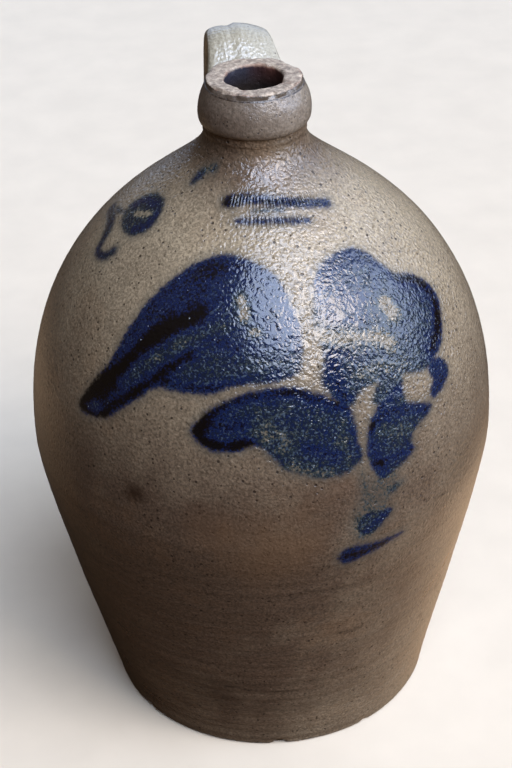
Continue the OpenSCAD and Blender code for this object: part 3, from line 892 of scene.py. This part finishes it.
    # The glass: orange peel about 1.4 mm across, flatter on the left, low down and where cobalt
    # fluxed it, over the rings of the throwing and under the notches
    fold = add("Math", (add("TexNoise", (place, across(3.4), 1.5, 0.6)), 0.5), operation="SUBTRACT")
    crease = add("Math", [fold], operation="ABSOLUTE")
    ripple = add("Math", (add("TexNoise", (place, across(1.7), 2, 0.6)), 0.7), operation="MULTIPLY")
    skin = add("Math", (crease, 3, ripple), operation="MULTIPLY_ADD")
    pitted = add("Math", (speck, -0.5, skin), operation="MULTIPLY_ADD")
    strength = add("MapRange", (x, -0.07, 0.02, 0.5, 1))
    for row in ((pigment, 0.2, 0.6, 1, 0.5), (z, 0.12, 0.23, 0.3, 1)):
        strength = add("Math", (strength, add("MapRange", row)), operation="MULTIPLY")
    notch = add("Attribute", out="Fac", attribute_name="notch")
    rings = add("Bump", {"Strength": 0.35, "Distance": 0.25 * MM, "Height": streak})
    peeled = add("Bump", {"Strength": strength, "Distance": 0.5 * MM, "Height": pitted, "Normal": rings})
    dents = {"Strength": 0.8, "Distance": 0.6 * MM, "Height": notch, "Normal": peeled}
    normal = add("Bump", dents, invert=True)
    rows = (patch, 0.3, 0.7, 0.26, 0.42), (pigment, 0.2, 0.6, 1, 0.4)
    rough = add("Math", [add("MapRange", row) for row in rows], operation="MULTIPLY")

    # The glass is thick on the shoulder and thin on the low wall and under the collar
    rows = (z, 0.1, 0.22, 0.4, 0.88), (z, 0.323, 0.315, 0.05, 1)
    glass = add("Math", [add("MapRange", row) for row in rows], operation="MULTIPLY")
    surface = add("BsdfPrincipled", {
        "Base Color": painted, "Roughness": rough, "IOR": 1.36, "Normal": normal, "Coat Weight": glass,
        "Coat Roughness": 0.08, "Coat IOR": 1.5, "Coat Normal": normal,
    })
    add("OutputMaterial", [surface], None)
    return material


def worn_collar_glaze(look):
    """Salt-glazed stoneware worn through at the rim: grey-brown glass with dark iron specks on the
    side, bare tan clay on the flat top and in the chips, and dark slip down the bore. The attribute
    past_lip counts millimetres from the top's outer edge: below zero down the side, above zero
    across the top and down the bore."""
    material, add = new_material("worn_salt_glaze")
    place = add("TexCoord", out="Object")
    x = add("SeparateXYZ", [place], "X")
    way = add("Attribute", out="Fac", attribute_name="past_lip")
    patch = add("TexNoise", (place, across(9), 4, 0.6))
    ragged = add("TexNoise", (place, across(3.4), 4, 0.65))
    grain = add("TexNoise", (place, across(1.6), 3, 0.75))
    fine = add("MapRange", (grain, 0.3, 0.7, 0.62, 1.38))
    # The side is lighter towards +X: painted light on the right and painted shade on the left, over patches
    mixed = add("Math", (patch, 0.9, add("MapRange", (x, -0.024, 0.024))), operation="MULTIPLY_ADD")
    tone = add("MapRange", (mixed, 0.3, 1.4))
    side = add("Mix", (tone, linear("#5f5247"), linear("#83796b")), data_type="RGBA")
    side = add("VectorMath", (side, fine), operation="SCALE")

    # Iron specks, closer together in some patches
    cell = add("TexVoronoi", {"Vector": place, "Scale": across(1.5)}, None)
    picked = add("SeparateColor", [cell["Color"]], None)
    within = add("Math", (picked["Green"], 0.3, 0.08), operation="MULTIPLY_ADD")
    within = add("Math", (within, cell["Distance"]), operation="SUBTRACT")
    spot = add("MapRange", (within, 0, 0.12, 0, 0.8))
    often = add("Math", (patch, 0.5, picked["Red"]), operation="MULTIPLY_ADD")
    chosen = add("Math", (often, 0.86), operation="GREATER_THAN")
    speck = add("Math", (spot, chosen), operation="MULTIPLY")
    side = add("Mix", (speck, side, look.iron_speck), data_type="RGBA")

    # The band under the top edge stays dark, down to the ledge, whose broken dark line is painted shade in
    # its groove
    band = add("MapRange", (way, -4.1, -3.5, 0, 0.6))
    side = add("Mix", (band, side, linear("#40372f")), data_type="RGBA")
    ledge = add("Math", (way, -3.8, 0.4), operation="COMPARE")
    line = add("Math", (ledge, add("MapRange", (ragged, 0.36, 0.5, 0, 0.85))), operation="MULTIPLY")
    side = add("Mix", (line, side, linear("#261b14")), data_type="RGBA")

    # The flat top: bare clay, rusty along its edges and grey where glaze is left
    torn_way = add("Math", (ragged, 2.6, way), operation="MULTIPLY_ADD")
    bared = add("MapRange", (torn_way, 0.15, 0.75))
    rusty = add("MapRange", (torn_way, 2.2, 0.3, 0, 0.22))
    for part in (add("MapRange", (torn_way, 7.4, 9.4, 0, 0.22)), patch):
        rusty = add("Math", (rusty, part), operation="ADD")
    worn = add("MapRange", (ragged, 0.4, 0.62))
    bare = add("Mix", (worn, linear("#86786a"), look.worn_clay), data_type="RGBA")
    bare = add("Mix", (add("MapRange", (rusty, 0.6, 0.8, 0, 0.6)), bare, look.rust_clay), data_type="RGBA")
    bare = add("VectorMath", (bare, fine), operation="SCALE")
    topped = add("Mix", (bared, side, bare), data_type="RGBA")

    # Down the bore the slip is blue-black on the left, a painted sheen, and rusty on the right, and brown
    # deep down
    sheen_to_rust = add("MapRange", (x, -0.001, 0.011, 0, 0.7))
    slip = add("Mix", (sheen_to_rust, linear("#20202e"), linear("#5a301f")), data_type="RGBA")
    slip = add("Mix", (add("MapRange", (way, 18, 9)), look.brown_slip, slip), data_type="RGBA")
    final = add("Mix", (add("MapRange", (torn_way, 9, 10.2)), topped, slip), data_type="RGBA")

    relief = add("Math", (speck, -0.6, grain), operation="MULTIPLY_ADD")
    relief = add("Math", (ragged, 1.6, relief), operation="MULTIPLY_ADD")
    normal = add("Bump", {"Strength": 0.9, "Distance": 0.3 * MM, "Height": relief})
    surface = add("BsdfPrincipled", {
        "Base Color": final, "Roughness": add("MapRange", (bared, 0, 1, 0.34, 0.6)), "IOR": 1.5,
        "Normal": normal, "Coat Weight": add("MapRange", (bared, 0, 1, 0.6, 0)), "Coat Roughness": 0.2,
        "Coat IOR": 1.6, "Coat Normal": normal,
    })
    add("OutputMaterial", [surface], None)
    return material


def pale_handle_glaze(look):
    """Thick salt glaze, where the vapour met the handle first: pale grey-green glass that looks
    wet, with the pulled clay's lengthwise lines and small pits under it."""
    material, add = new_material("thick_salt_glaze")
    place = add("TexCoord", out="Object")
    z = add("SeparateXYZ", [place], "Z")
    patch = add("TexNoise", (place, across(14), 4, 0.6))
    grain = add("TexNoise", (place, across(1.2), 3, 0.7))
    mixed = add("Math", (patch, 0.7, add("MapRange", (z, 0.3, 0.352))), operation="MULTIPLY_ADD")
    tone = add("MapRange", (mixed, 0.3, 1.3))
    glaze = add("Mix", (tone, linear("#7a7464"), look.pale_glaze), data_type="RGBA")
    fine = add("MapRange", (grain, 0.3, 0.7, 0.78, 1.22))
    glaze = add("VectorMath", (glaze, fine), operation="SCALE")

    # Dark pits in a few of the cells
    cell = add("TexVoronoi", {"Vector": place, "Scale": across(3.4)}, None)
    picked = add("SeparateColor", [cell["Color"]], "Red")
    chosen = add("Math", (picked, 0.75), operation="GREATER_THAN")
    pit = add("Math", (add("MapRange", (cell["Distance"], 0.14, 0.08)), chosen), operation="MULTIPLY")
    glaze = add("Mix", (pit, glaze, linear("#3d3329")), data_type="RGBA")

    # Orange peel over the lines of the pulling
    drawn = add("Mapping", {"Vector": place, "Scale": (700, 60, 60)})
    pulled = add("TexNoise", (drawn, 1, 3))
    peel = {"Vector": place, "Scale": across(1.6), "Smoothness": 0.8}
    peel = add("TexVoronoi", peel, "Distance", feature="SMOOTH_F1")
    height = add("Math", (pulled, 0.9, peel), operation="MULTIPLY_ADD")
    normal = add("Bump", {"Strength": 0.9, "Distance": 0.45 * MM, "Height": height})
    surface = add("BsdfPrincipled", {
        "Base Color": glaze, "Roughness": 0.3, "IOR": 1.5, "Normal": normal, "Coat Weight": 0.8,
        "Coat Roughness": 0.1, "Coat Normal": normal,
    })
    add("OutputMaterial", [surface], None)
    return material


def brown_slip_glaze(look):
    """Brown slip fired glossy: a liquid clay rich in iron that seals the inside. It looks almost
    black, with rusty patches where it ran thin."""
    material, add = new_material("fired_brown_slip")
    place = add("TexCoord", out="Object")
    thin = add("MapRange", (add("TexNoise", (place, across(18), 5, 0.6)), 0.45, 0.7, 0, 0.6))
    tone = add("Mix", (thin, look.brown_slip, linear("#3a2014")), data_type="RGBA")
    ripple = add("TexNoise", (place, across(3), 2))
    normal = add("Bump", {"Strength": 0.6, "Distance": 0.3 * MM, "Height": ripple})
    surface = add("BsdfPrincipled", {"Base Color": tone, "Roughness": 0.22, "IOR": 1.5, "Normal": normal})
    add("OutputMaterial", [surface], None)
    return material


# The pieces

# Height of the neck's seat, depth of its spigot, height of the belly's lap, width of a joint's lips
SEAT = 313 * MM
SPIGOT = 5 * MM
LAP = 8 * MM
LIPS = 0.8 * MM

# How far the collar's ring reaches down into the neck, and its share of the clay there
RING_REACH = 6 * MM
RING_SHARE = 0.42

# Degrees between the columns of the body, on the painted front and behind
FINE = 0.62
COARSE = 1.7


def lay(*corners, step=2 * MM):
    """Straight runs between corners, with points along them."""
    return chain(*[spaced(np.array([a, b]), step) for a, b in zip(corners[:-1], corners[1:])])


def all_round(count):
    """Even angles round the jug."""
    return np.radians(np.linspace(-180, 180, count, endpoint=False))


def seat_radius(s):
    """Radius of the shoulder where the neck sits on it."""
    wall = outer_wall(s)
    return float(np.interp(SEAT, wall[:, 1], wall[:, 0]))


def ring_radius(s):
    """Radius of the joint between the neck and the collar's ring."""
    return s.mouth_radius + RING_SHARE * (s.neck_radius - s.mouth_radius)


def throw(context, name, low, high, rest, step, phi, *replaced, poles=False):
    """Turns one section of the thrown body, paints it and shows it in the place of some nodes."""
    s, look = context.scene.jug_sizes, context.scene.jug_finish
    grid, normals, start, section = turned_skin(s, low, high, rest, step, phi, poles)
    mesh = closed_mesh(name, grid, normals, poles)
    cobalt_on(mesh, grid, start, section, phi, outer_wall(s), poles)
    glaze = shared_material("salt_glazed_stoneware", salt_glazed_stoneware, look)
    show(name, mesh, glaze, "stoneware_body", *replaced)


class JUG_OT_lower_body(bpy.types.Operator):
    """Turns the lower half of the body, with its foot, floor and lapped joint"""

    bl_idname = "jug.lower_body"
    bl_label = "Lower body"

    def execute(self, context):
        s = context.scene.jug_sizes
        gap, lap_r, lip_r = s.joint_gap, s.belly_radius - s.wall / 2, s.belly_radius - LIPS
        top, ledge_z = s.belly_height, s.belly_height - s.joint_gap
        inner = inner_wall(s, s.wall)
        inner = inner[inner[:, 1] < ledge_z + LAP]
        inner = spaced(chain([(inner[0, 0], ledge_z + LAP)], inner), 5 * MM)
        under = spaced(np.array([(0, 0), (s.foot_radius - FOOT_ROUND, 0)]), 8 * MM)[:-1]
        joint = lay(
            (s.belly_radius, top), (lip_r, top), (lip_r - gap, ledge_z), (lap_r - gap, ledge_z),
            (lap_r - gap, ledge_z + LAP), tuple(inner[0]),
        )[1:-1]
        throw(
            context, "thrown_lower_body", 0, top, [under, joint, inner], 1.35 * MM, columns(FINE, COARSE),
            "lower_body", "cobalt_stem_strokes", poles=True,
        )
        return {"FINISHED"}


class JUG_OT_upper_body(bpy.types.Operator):
    """Turns the upper half of the body, from the belly's joint to the seat of the neck"""

    bl_idname = "jug.upper_body"
    bl_label = "Upper body"

    def execute(self, context):
        s = context.scene.jug_sizes
        gap, lap_r, lip_r = s.joint_gap, s.belly_radius - s.wall / 2, s.belly_radius - LIPS
        spigot_r, seat_r = (s.throat_radius + s.neck_radius) / 2, seat_radius(s)
        inner = inner_wall(s, s.wall)
        inner = inner[inner[:, 1] > s.belly_height + LAP + gap]
        top = inner[0]
        slope = np.array([-math.cos(SHOULDER_SLOPE), math.sin(SHOULDER_SLOPE)])
        throat = bezier(
            (s.throat_radius, SEAT - SPIGOT - s.wall / 4),
            (s.throat_radius, SEAT - SPIGOT - s.wall / 2),
            top + (top[0] - s.throat_radius) / 2 * slope,
            top,
            12,
        )
        seat = lay(
            (seat_r, SEAT), (seat_r - LIPS, SEAT), (seat_r - LIPS - gap, SEAT - gap),
            (spigot_r + gap, SEAT - gap), (spigot_r + gap, SEAT - SPIGOT - gap),
            (s.throat_radius, SEAT - SPIGOT - gap), tuple(throat[0]),
        )[1:-1]
        inside = chain(throat[:-1], spaced(inner, 6 * MM))
        lap = lay(
            tuple(inside[-1]), (lap_r + gap, s.belly_height + LAP + gap),
            (lap_r + gap, s.belly_height + gap), (lip_r - gap, s.belly_height + gap),
            (lip_r, s.belly_height), (s.belly_radius, s.belly_height), step=4 * MM,
        )[1:-1]
        throw(
            context, "thrown_upper_body", s.belly_height, SEAT, [seat, inside, lap], 1.35 * MM,
            columns(FINE, COARSE), "upper_body", "cobalt_left_leaf", "cobalt_right_leaf",
            "cobalt_low_left_leaf", "cobalt_low_right_leaf", "cobalt_curl_mark", "cobalt_neck_bands",
        )
        return {"FINISHED"}


class JUG_OT_neck(bpy.types.Operator):
    """Turns the short neck with its bead"""

    bl_idname = "jug.neck"
    bl_label = "Neck"

    def execute(self, context):
        s = context.scene.jug_sizes
        gap, seat_r, ring_r = s.joint_gap, seat_radius(s), ring_radius(s) + s.joint_gap
        spigot_r = (s.throat_radius + s.neck_radius) / 2 - gap
        top, ring_foot = s.collar_foot - gap, s.collar_foot - RING_REACH - gap
        rest = lay(
            (s.neck_radius, top), (ring_r, top), (ring_r, ring_foot), (s.throat_radius, ring_foot),
            (s.throat_radius, SEAT - SPIGOT + gap), (spigot_r, SEAT - SPIGOT + gap), (spigot_r, SEAT + gap),
            (seat_r - LIPS - gap, SEAT + gap), (seat_r - LIPS, SEAT), (seat_r, SEAT), step=1 * MM,
        )[1:-1]
        throw(context, "thrown_neck", SEAT, top, [rest], 0.4 * MM, all_round(320), "neck")
        return {"FINISHED"}


# Chips out of the collar's top edge and the mouth's edge: degrees, half width in degrees, depth
RIM_CHIPS = (
    (-58, 15, 2.2 * MM), (-36, 6, 0.9 * MM), (-14, 5, 0.6 * MM), (10, 6, 0.9 * MM), (38, 8, 1.5 * MM),
    (70, 10, 0.5 * MM), (118, 12, 0.8 * MM), (-122, 9, 0.7 * MM), (165, 14, 0.5 * MM),
)
MOUTH_CHIPS = (
    (-34, 7, 1.2 * MM), (-16, 9, 0.4 * MM), (52, 8, 0.5 * MM), (130, 10, 0.6 * MM), (-140, 12, 0.5 * MM),
)


def chipped(phi, chips):
    """Depth of chips round an edge: flat-bottomed dips at their places."""
    angle = np.degrees(phi)
    return sum(depth * np.exp(-(np.abs((angle - place) / half) ** 3)) for place, half, depth in chips)


class JUG_OT_collar(bpy.types.Operator):
    """Turns the heavy collar, with its worn top edge, its chips and the bore of the mouth"""

    bl_idname = "jug.collar"
    bl_label = "Collar"

    def execute(self, context):
        s, look = context.scene.jug_sizes, context.scene.jug_finish
        gap, bulge, rim = s.joint_gap, s.collar_foot + 5 * MM, s.rim_height
        lip_round, mouth_round, ledge = 1 * MM, 1.8 * MM, 0.6 * MM
        ledge_r, ledge_z = s.lip_radius + ledge, rim - 3 * lip_round
        ring_r, ring_foot = ring_radius(s) - gap, s.collar_foot - RING_REACH + gap
        side = chain(
            arc(
                (s.neck_radius, bulge), s.collar_radius - s.neck_radius, bulge - s.collar_foot - gap,
                -90, 0, 24,
            ),
            bezier(
                (s.collar_radius, bulge), (s.collar_radius, (bulge + ledge_z) / 2),
                ((s.lip_radius + s.collar_radius) / 2, ledge_z - (ledge_z - bulge) / 4),
                (ledge_r, ledge_z), 60,
            ),
            bezier(
                (ledge_r, ledge_z), (s.lip_radius + 0.8 * ledge, ledge_z + 0.5 * ledge),
                (s.lip_radius, ledge_z), (s.lip_radius, ledge_z + ledge), 12,
            ),
            arc((s.lip_radius - lip_round, rim - lip_round), lip_round, lip_round, 0, 90, 14),
            arc((s.mouth_radius + mouth_round, rim - mouth_round), mouth_round, mouth_round, 90, 180, 18),
        )
        side = spaced(side, 0.32 * MM)
        inside = spaced(np.array([side[-1], (s.mouth_radius, ring_foot)]), 1.2 * MM)[1:]
        spigot = lay(
            tuple(inside[-1]), (ring_r, ring_foot), (ring_r, s.collar_foot + gap), tuple(side[0]),
            step=1.5 * MM,
        )[1:-1]
        rows, phi = np.concatenate([side, inside, spigot]), all_round(440)
        z, reach = rows[:, 1], 26 * MM
        facing = outward(np.concatenate([rows, rows[:1]]))[:-1]

        # Uneven where the collar shows, smooth where it joins the neck
        fade = np.clip((z - s.collar_foot) / (1.2 * MM), 0, 1)
        fade *= np.concatenate([np.ones(len(side)), np.linspace(1, 0, len(inside)), np.zeros(len(spigot))])
        broad, close = waves(phi, z, reach, 30 * MM, 12, 21), waves(phi, z, reach, 8 * MM, 16, 5)
        relief = fade[:, None] * (0.24 * MM * broad + 0.06 * MM * close)

        # Chips bite in near the edges of the lip and the mouth, and nothing stands over the rim
        rough = 1 + 0.3 * waves(phi, z, reach, 5 * MM, 16, 11)
        edges = (s.lip_radius, 1.9 * MM, RIM_CHIPS), (s.mouth_radius, 2.2 * MM, MOUTH_CHIPS)
        for radius, bite, chips in edges:
            near = np.exp(-((np.linalg.norm(rows - (radius, rim), axis=1) / bite) ** 4))[:, None]
            relief -= near * chipped(phi, chips)[None, :] * rough
        relief = np.minimum(relief, np.where(z > rim - 0.3 * MM, 0.1 * MM, 1)[:, None])
        grid = turn(rows, facing, phi, relief, s)
        mesh = closed_mesh("turned_collar", grid, grid_normals(grid))

        # Millimetres past the outer edge of the top, and far before it on the hidden spigot
        way = lengths(rows) / MM
        corner = int(np.argmax((z > rim - 0.02 * MM) & (rows[:, 0] < s.lip_radius)))
        way = np.where(np.arange(len(rows)) < len(side) + len(inside), way - way[corner], -40)
        past_lip = np.repeat(way, len(phi)).astype(np.float32)
        mesh.attributes.new("past_lip", "FLOAT", "POINT").data.foreach_set("value", past_lip)
        glaze = shared_material("worn_salt_glaze", worn_collar_glaze, look)
        show("turned_collar", mesh, glaze, "worn_collar", "collar")
        return {"FINISHED"}


def power(value, exponent):
    """A power that keeps the sign, which squares off an oval."""
    return np.sign(value) * np.abs(value) ** exponent


def step_at(angle):
    """A step of one at an angle above level, in a half section."""
    return np.array([math.cos(angle), math.sin(angle)])


class JUG_OT_handle(bpy.types.Operator):
    """Pulls the strap handle from the back of the collar down to the shoulder"""

    bl_idname = "jug.handle"
    bl_label = "Strap handle"

    def execute(self, context):
        s, look = context.scene.jug_sizes, context.scene.jug_finish
        thick, wide, spread, sides = 11 * MM, 27 * MM, 10 * MM, 96
        leave, land = math.radians(38), math.radians(76)
        crest_y, over_rim, outmost, foot_z = 42 * MM, 9.5 * MM, 70 * MM, 286 * MM

        # The middle line: up from the collar to the crest, then out and down to the shoulder
        root = np.array([s.collar_radius - thick / 2, s.rim_height - 0.8 * thick])
        crest = np.array([crest_y, s.rim_height + over_rim - thick / 2])
        wall = outer_wall(s)
        foot = np.array([np.interp(foot_z, wall[:, 1], wall[:, 0]), foot_z]) - 1.4 * thick * step_at(land)
        rise, fall = (crest[0] - root[0]) / 2, crest[1] - foot[1]
        turn_out = (outmost - thick / 2 - crest[0]) * 0.95
        line = chain(
            bezier(root, root + rise * step_at(leave), crest - (rise, 0), crest, 60),
            bezier(crest, crest + (turn_out, 0), foot + 0.55 * fall * step_at(land), foot, 160),
        )
        line = spaced(line, 0.9 * MM)
        up = -outward(line)[:, None, :]

        # The section: a squared oval that spreads at both ends and narrows past the crest
        t = np.linspace(0, 1, len(line))[:, None]
        a = np.linspace(0, 2 * math.pi, sides, endpoint=False)[None, :]
        ends = (1 - t) ** 6 + t ** 8
        far = np.clip((t - 0.3) / 0.3, 0, 1)
        far = far * far * (3 - 2 * far)
        half_w = (wide + spread * ends - 4 * MM * far + 2.4 * MM * (1 - t) ** 2 * (np.cos(a) > 0)) / 2
        x_share = power(np.cos(a), 0.55)
        x = half_w * x_share * (1 + 0.015 * np.sin(9 * t + 1)) - 1.2 * MM * far

        # Its top, as the thumb left it: a crease, a flat on the left and a slope on the right
        crease = 1.3 * MM * np.exp(-(((x_share + 0.24) * 8) ** 2))
        flat = 1.1 * MM * np.clip((-0.2 - x_share) * 4, 0, 1)
        slope = 3.4 * MM * np.clip(x_share, 0, 1) ** 1.6
        tooled = np.where(np.sin(a) > 0, crease + flat + slope, 0)
        fade = np.clip((1 - t) * 5, 0, 1) * np.clip(t * 9, 0, 1)
        lumps = 0.2 * np.cos(5 * x_share + 9 * t) + 0.3 * np.sin(13 * t + 2 * x_share)
        lumps = (lumps + 0.14 * np.cos(29 * t - 4 * x_share)) * MM
        out = (thick / 2 - tooled * fade) * power(np.sin(a), 0.75) + (lumps - 0.5 * MM) * np.sin(a)

        # Carried along the line, and leaning with the jug
        y, z = (line[:, None, i] + out * up[:, :, i] for i in (0, 1))
        grid = np.stack([x, y, z], axis=2)
        shift = wander(grid[:, :, 2], s.rim_height)
        grid[:, :, 0] += shift * math.cos(WANDER_TURN)
        grid[:, :, 1] -= shift * math.sin(WANDER_TURN)
        middle = np.repeat(grid.mean(axis=1, keepdims=True), sides, axis=1)
        grid = np.concatenate([middle[:1], grid, middle[-1:]])
        mesh = closed_mesh("pulled_strap", grid, grid_normals(grid), poles=True)
        glaze = shared_material("thick_salt_glaze", pale_handle_glaze, look)
        show("pulled_strap", mesh, glaze, "pale_handle_glaze", "handle")
        return {"FINISHED"}


class JUG_OT_slip_lining(bpy.types.Operator):
    """Lays the thin brown slip over the inside of the body"""

    bl_idname = "jug.slip_lining"
    bl_label = "Slip lining"

    def execute(self, context):
        s, look = context.scene.jug_sizes, context.scene.jug_finish
        clear, thickness = s.wall + 0.05 * MM, 0.6 * MM
        under = spaced(inner_wall(s, clear)[::-1], 5 * MM)
        over = spaced(inner_wall(s, clear + thickness), 5 * MM)
        rows = np.concatenate([under, over])
        grid = turn(rows, np.zeros_like(rows), all_round(200), 0, s)
        mesh = closed_mesh("brown_slip_coat", grid, grid_normals(grid), poles=True)
        coat = shared_material("fired_brown_slip", brown_slip_glaze, look)
        show("brown_slip_coat", mesh, coat, "brown_slip", "slip_lining")
        return {"FINISHED"}


# The stage: floor, light and camera

# The camera as fitted to the photograph, and the floor's half width and depth under the foot
CAMERA_PLACE = (-0.1447, -0.7312, 0.6714)
CAMERA_FORWARD = (0.1589, 0.8177, -0.5533)
CAMERA_ROLL = math.radians(-1.673)
FOCAL_PIXELS = 1700
FRAME_PIXELS = 768
SENSOR = 36
FLOOR_REACH = 5.0
FLOOR_DROP = 0.1 * MM
LAMP_AIM = Vector((0, 0, 0.26))

# Light that the glaze mirrors from the floor: its dim rest, and two pools by centre, reach and
# strength, one close by on the right and one far behind on the left
MIRRORED = 0.16
POOLS = (((0.17, 0.02, 0), 0.26, 1.5), ((-0.36, 0.34, 0), 0.34, 0.6))


class JUG_OT_stage(bpy.types.Operator):
    """Sets the pale floor, the soft studio light and the camera"""

    bl_idname = "jug.stage"
    bl_label = "Stage"

    def execute(self, context):
        scene = context.scene
        look, light = scene.jug_finish, scene.jug_light
        self.floor(scene, look)
        self.lamp(scene, "window", light.window, (1.0, 0.7), (0.85, -1.2, 1.6), "#ffe9cd")
        self.surround(scene, light)
        self.camera(scene)
        scene.view_settings.view_transform = "Standard"
        return {"FINISHED"}

    def floor(self, scene, look):
        """A large flat sheet. The camera sees pale plaster with a faint mottle. The jug gets the
        warm bounce of old wood from it, painted lit on the right and in shade on the left, and its
        glaze mirrors a dim floor with pools of light."""
        x, y = np.meshgrid(*[np.linspace(-FLOOR_REACH, FLOOR_REACH, 3)] * 2)
        points = np.stack([x.ravel(), y.ravel(), np.full(x.size, -FLOOR_DROP)], axis=1)
        corner = np.array([0, 1, 3, 4])
        faces = np.stack([corner, corner + 1, corner + 4, corner + 3], axis=1)
        mesh = bpy.data.meshes.new("pale_floor")
        mesh.from_pydata(points.tolist(), [], faces.tolist())
        material, add = new_material("painted_plaster")
        place = add("TexCoord", out="Object")
        mottle = add("MapRange", (add("TexNoise", (place, across(40), 4)), 0.3, 0.7, 0.97, 1.03))
        plaster = add("VectorMath", (look.floor_colour[:3], mottle), operation="SCALE")
        # The bounce is painted light on the right and painted shade on the left, where the jug's shadow
        # falls
        lit = add("MapRange", (add("SeparateXYZ", [place], "X"), -0.15, 0.3))
        bounce = add("Mix", (lit, look.dark_bounce, look.lit_bounce), data_type="RGBA")
        mirrored = MIRRORED
        for centre, reach, strength in POOLS:
            away = add("VectorMath", (place, centre), operation="DISTANCE")
            pool = add("MapRange", (away, reach, 0, 0, strength), interpolation_type="SMOOTHSTEP")
            mirrored = add("Math", (mirrored, pool), operation="ADD")
        dimmed = add("VectorMath", (look.lit_bounce[:3], mirrored), operation="SCALE")
        rays = add("LightPath", out=None)
        tone = add("Mix", (rays["Is Glossy Ray"], bounce, dimmed), data_type="RGBA")
        tone = add("Mix", (rays["Is Camera Ray"], tone, plaster), data_type="RGBA")
        surface = add("BsdfPrincipled", {"Base Color": tone, "Roughness": 0.8, "Specular IOR Level": 0.1})
        add("OutputMaterial", [surface], None)
        mesh.materials.append(material)
        floor = bpy.data.objects.new("pale_floor", mesh)
        scene.collection.objects.link(floor)

    def lamp(self, scene, name, strength, size, place, tint):
        """A rectangular soft light that faces the shoulder of the jug."""
        data = bpy.data.lights.new(name, "AREA")
        data.shape = "RECTANGLE"
        data.size, data.size_y = size
        data.energy = strength
        data.color = linear(tint)[:3]
        lamp = bpy.data.objects.new(name, data)
        lamp.location = place
        aim = LAMP_AIM - Vector(place)
        lamp.rotation_euler = aim.to_track_quat("-Z", "Y").to_euler()
        scene.collection.objects.link(lamp)

    def surround(self, scene, light):
        """Soft daylight: a dim warm shade all round and, cooler as it grows, the light of the
        sky. Each part of the sky rises from nothing to its strength as the direction nears its
        centre: a wide opening before the jug, lower sky to the right, high sky, dim light past the
        right side and behind, and the zenith. The camera sees a plain pale background."""
        world = bpy.data.worlds.new("daylight")
        world.use_nodes = True
        world.node_tree.nodes.clear()
        add = functools.partial(node, world.node_tree)
        direction = add("TexCoord", out="Generated")
        total = light.shade
        for towards, start, full, strength in (
            ((0.18, -0.56, 0.81), 0.9, 0.955, light.opening),
            ((0.82, -0.33, 0.47), 0.9, 0.965, light.side),
            ((0.32, -0.19, 0.93), 0.95, 0.985, light.above),
            ((0.67, 0.47, 0.57), 0.84, 1.0, light.edge),
            ((0.1, 0.95, 0.3), 0.84, 1.0, light.behind),
            ((0, 0, 1), 0.15, 1.0, light.zenith),
        ):
            near = add("VectorMath", (direction, Vector(towards).normalized()), operation="DOT_PRODUCT")
            glow = add("MapRange", (near, start, full, 0, strength), interpolation_type="SMOOTHSTEP")
            total = add("Math", (total, glow), operation="ADD")
        cool = add("MapRange", (total, light.shade, 0.4))
        tint = add("Mix", (cool, linear("#ffdaa8"), linear("#d0e0ff")), data_type="RGBA")
        seen = add("Background", (linear("#d9d6cf"), 1))
        ray = add("LightPath", out="Is Camera Ray")
        mixed = add("MixShader", (ray, add("Background", (tint, total)), seen))
        add("OutputWorld", [mixed], None)
        scene.world = world

    def camera(self, scene):
        """The photograph's view: a long lens that looks down, rolled a little."""
        data = bpy.data.cameras.new("camera")
        data.sensor_width = SENSOR
        data.lens = FOCAL_PIXELS * SENSOR / FRAME_PIXELS
        forward = Vector(CAMERA_FORWARD).normalized()
        level = forward.cross(Vector((0, 0, 1))).normalized()
        upright = level.cross(forward)
        right = math.cos(CAMERA_ROLL) * level + math.sin(CAMERA_ROLL) * upright
        up = right.cross(forward)
        turned = Matrix((right, up, -forward)).transposed().to_4x4()
        camera = bpy.data.objects.new("camera", data)
        camera.matrix_world = Matrix.Translation(CAMERA_PLACE) @ turned
        scene.collection.objects.link(camera)
        scene.camera = camera


class JUG_PT_panel(bpy.types.Panel):
    """Lists the jug's sizes, finish, light and pieces"""

    bl_idname = "JUG_PT_panel"
    bl_label = "Stoneware jug"
    bl_space_type = "VIEW_3D"
    bl_region_type = "UI"
    bl_category = "Jug"

    def draw(self, context):
        for group in (context.scene.jug_sizes, context.scene.jug_finish, context.scene.jug_light):
            box = self.layout.box()
            for name in group.__annotations__:
                box.prop(group, name)
        for operator in OPERATORS:
            self.layout.operator(operator.bl_idname)


OPERATORS = (
    JUG_OT_lower_body, JUG_OT_upper_body, JUG_OT_neck, JUG_OT_collar, JUG_OT_handle, JUG_OT_slip_lining,
    JUG_OT_stage,
)
GROUPS = {"jug_sizes": JugSizes, "jug_finish": JugFinish, "jug_light": JugLight}


def register():
    """Registers the groups of settings, the operators and the panel."""
    for name, group in GROUPS.items():
        bpy.utils.register_class(group)
        setattr(bpy.types.Scene, name, bpy.props.PointerProperty(type=group))
    for kind in (*OPERATORS, JUG_PT_panel):
        bpy.utils.register_class(kind)


def unregister():
    """Takes them out again, in the reverse order."""
    for kind in (JUG_PT_panel, *reversed(OPERATORS)):
        bpy.utils.unregister_class(kind)
    for name, group in GROUPS.items():
        delattr(bpy.types.Scene, name)
        bpy.utils.unregister_class(group)


def main():
    """Registers the tools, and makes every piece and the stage."""
    register()
    bpy.ops.jug.stage()
    bpy.ops.jug.lower_body()
    bpy.ops.jug.upper_body()
    bpy.ops.jug.neck()
    bpy.ops.jug.collar()
    bpy.ops.jug.handle()
    bpy.ops.jug.slip_lining()


if __name__ == "__main__":
    main()
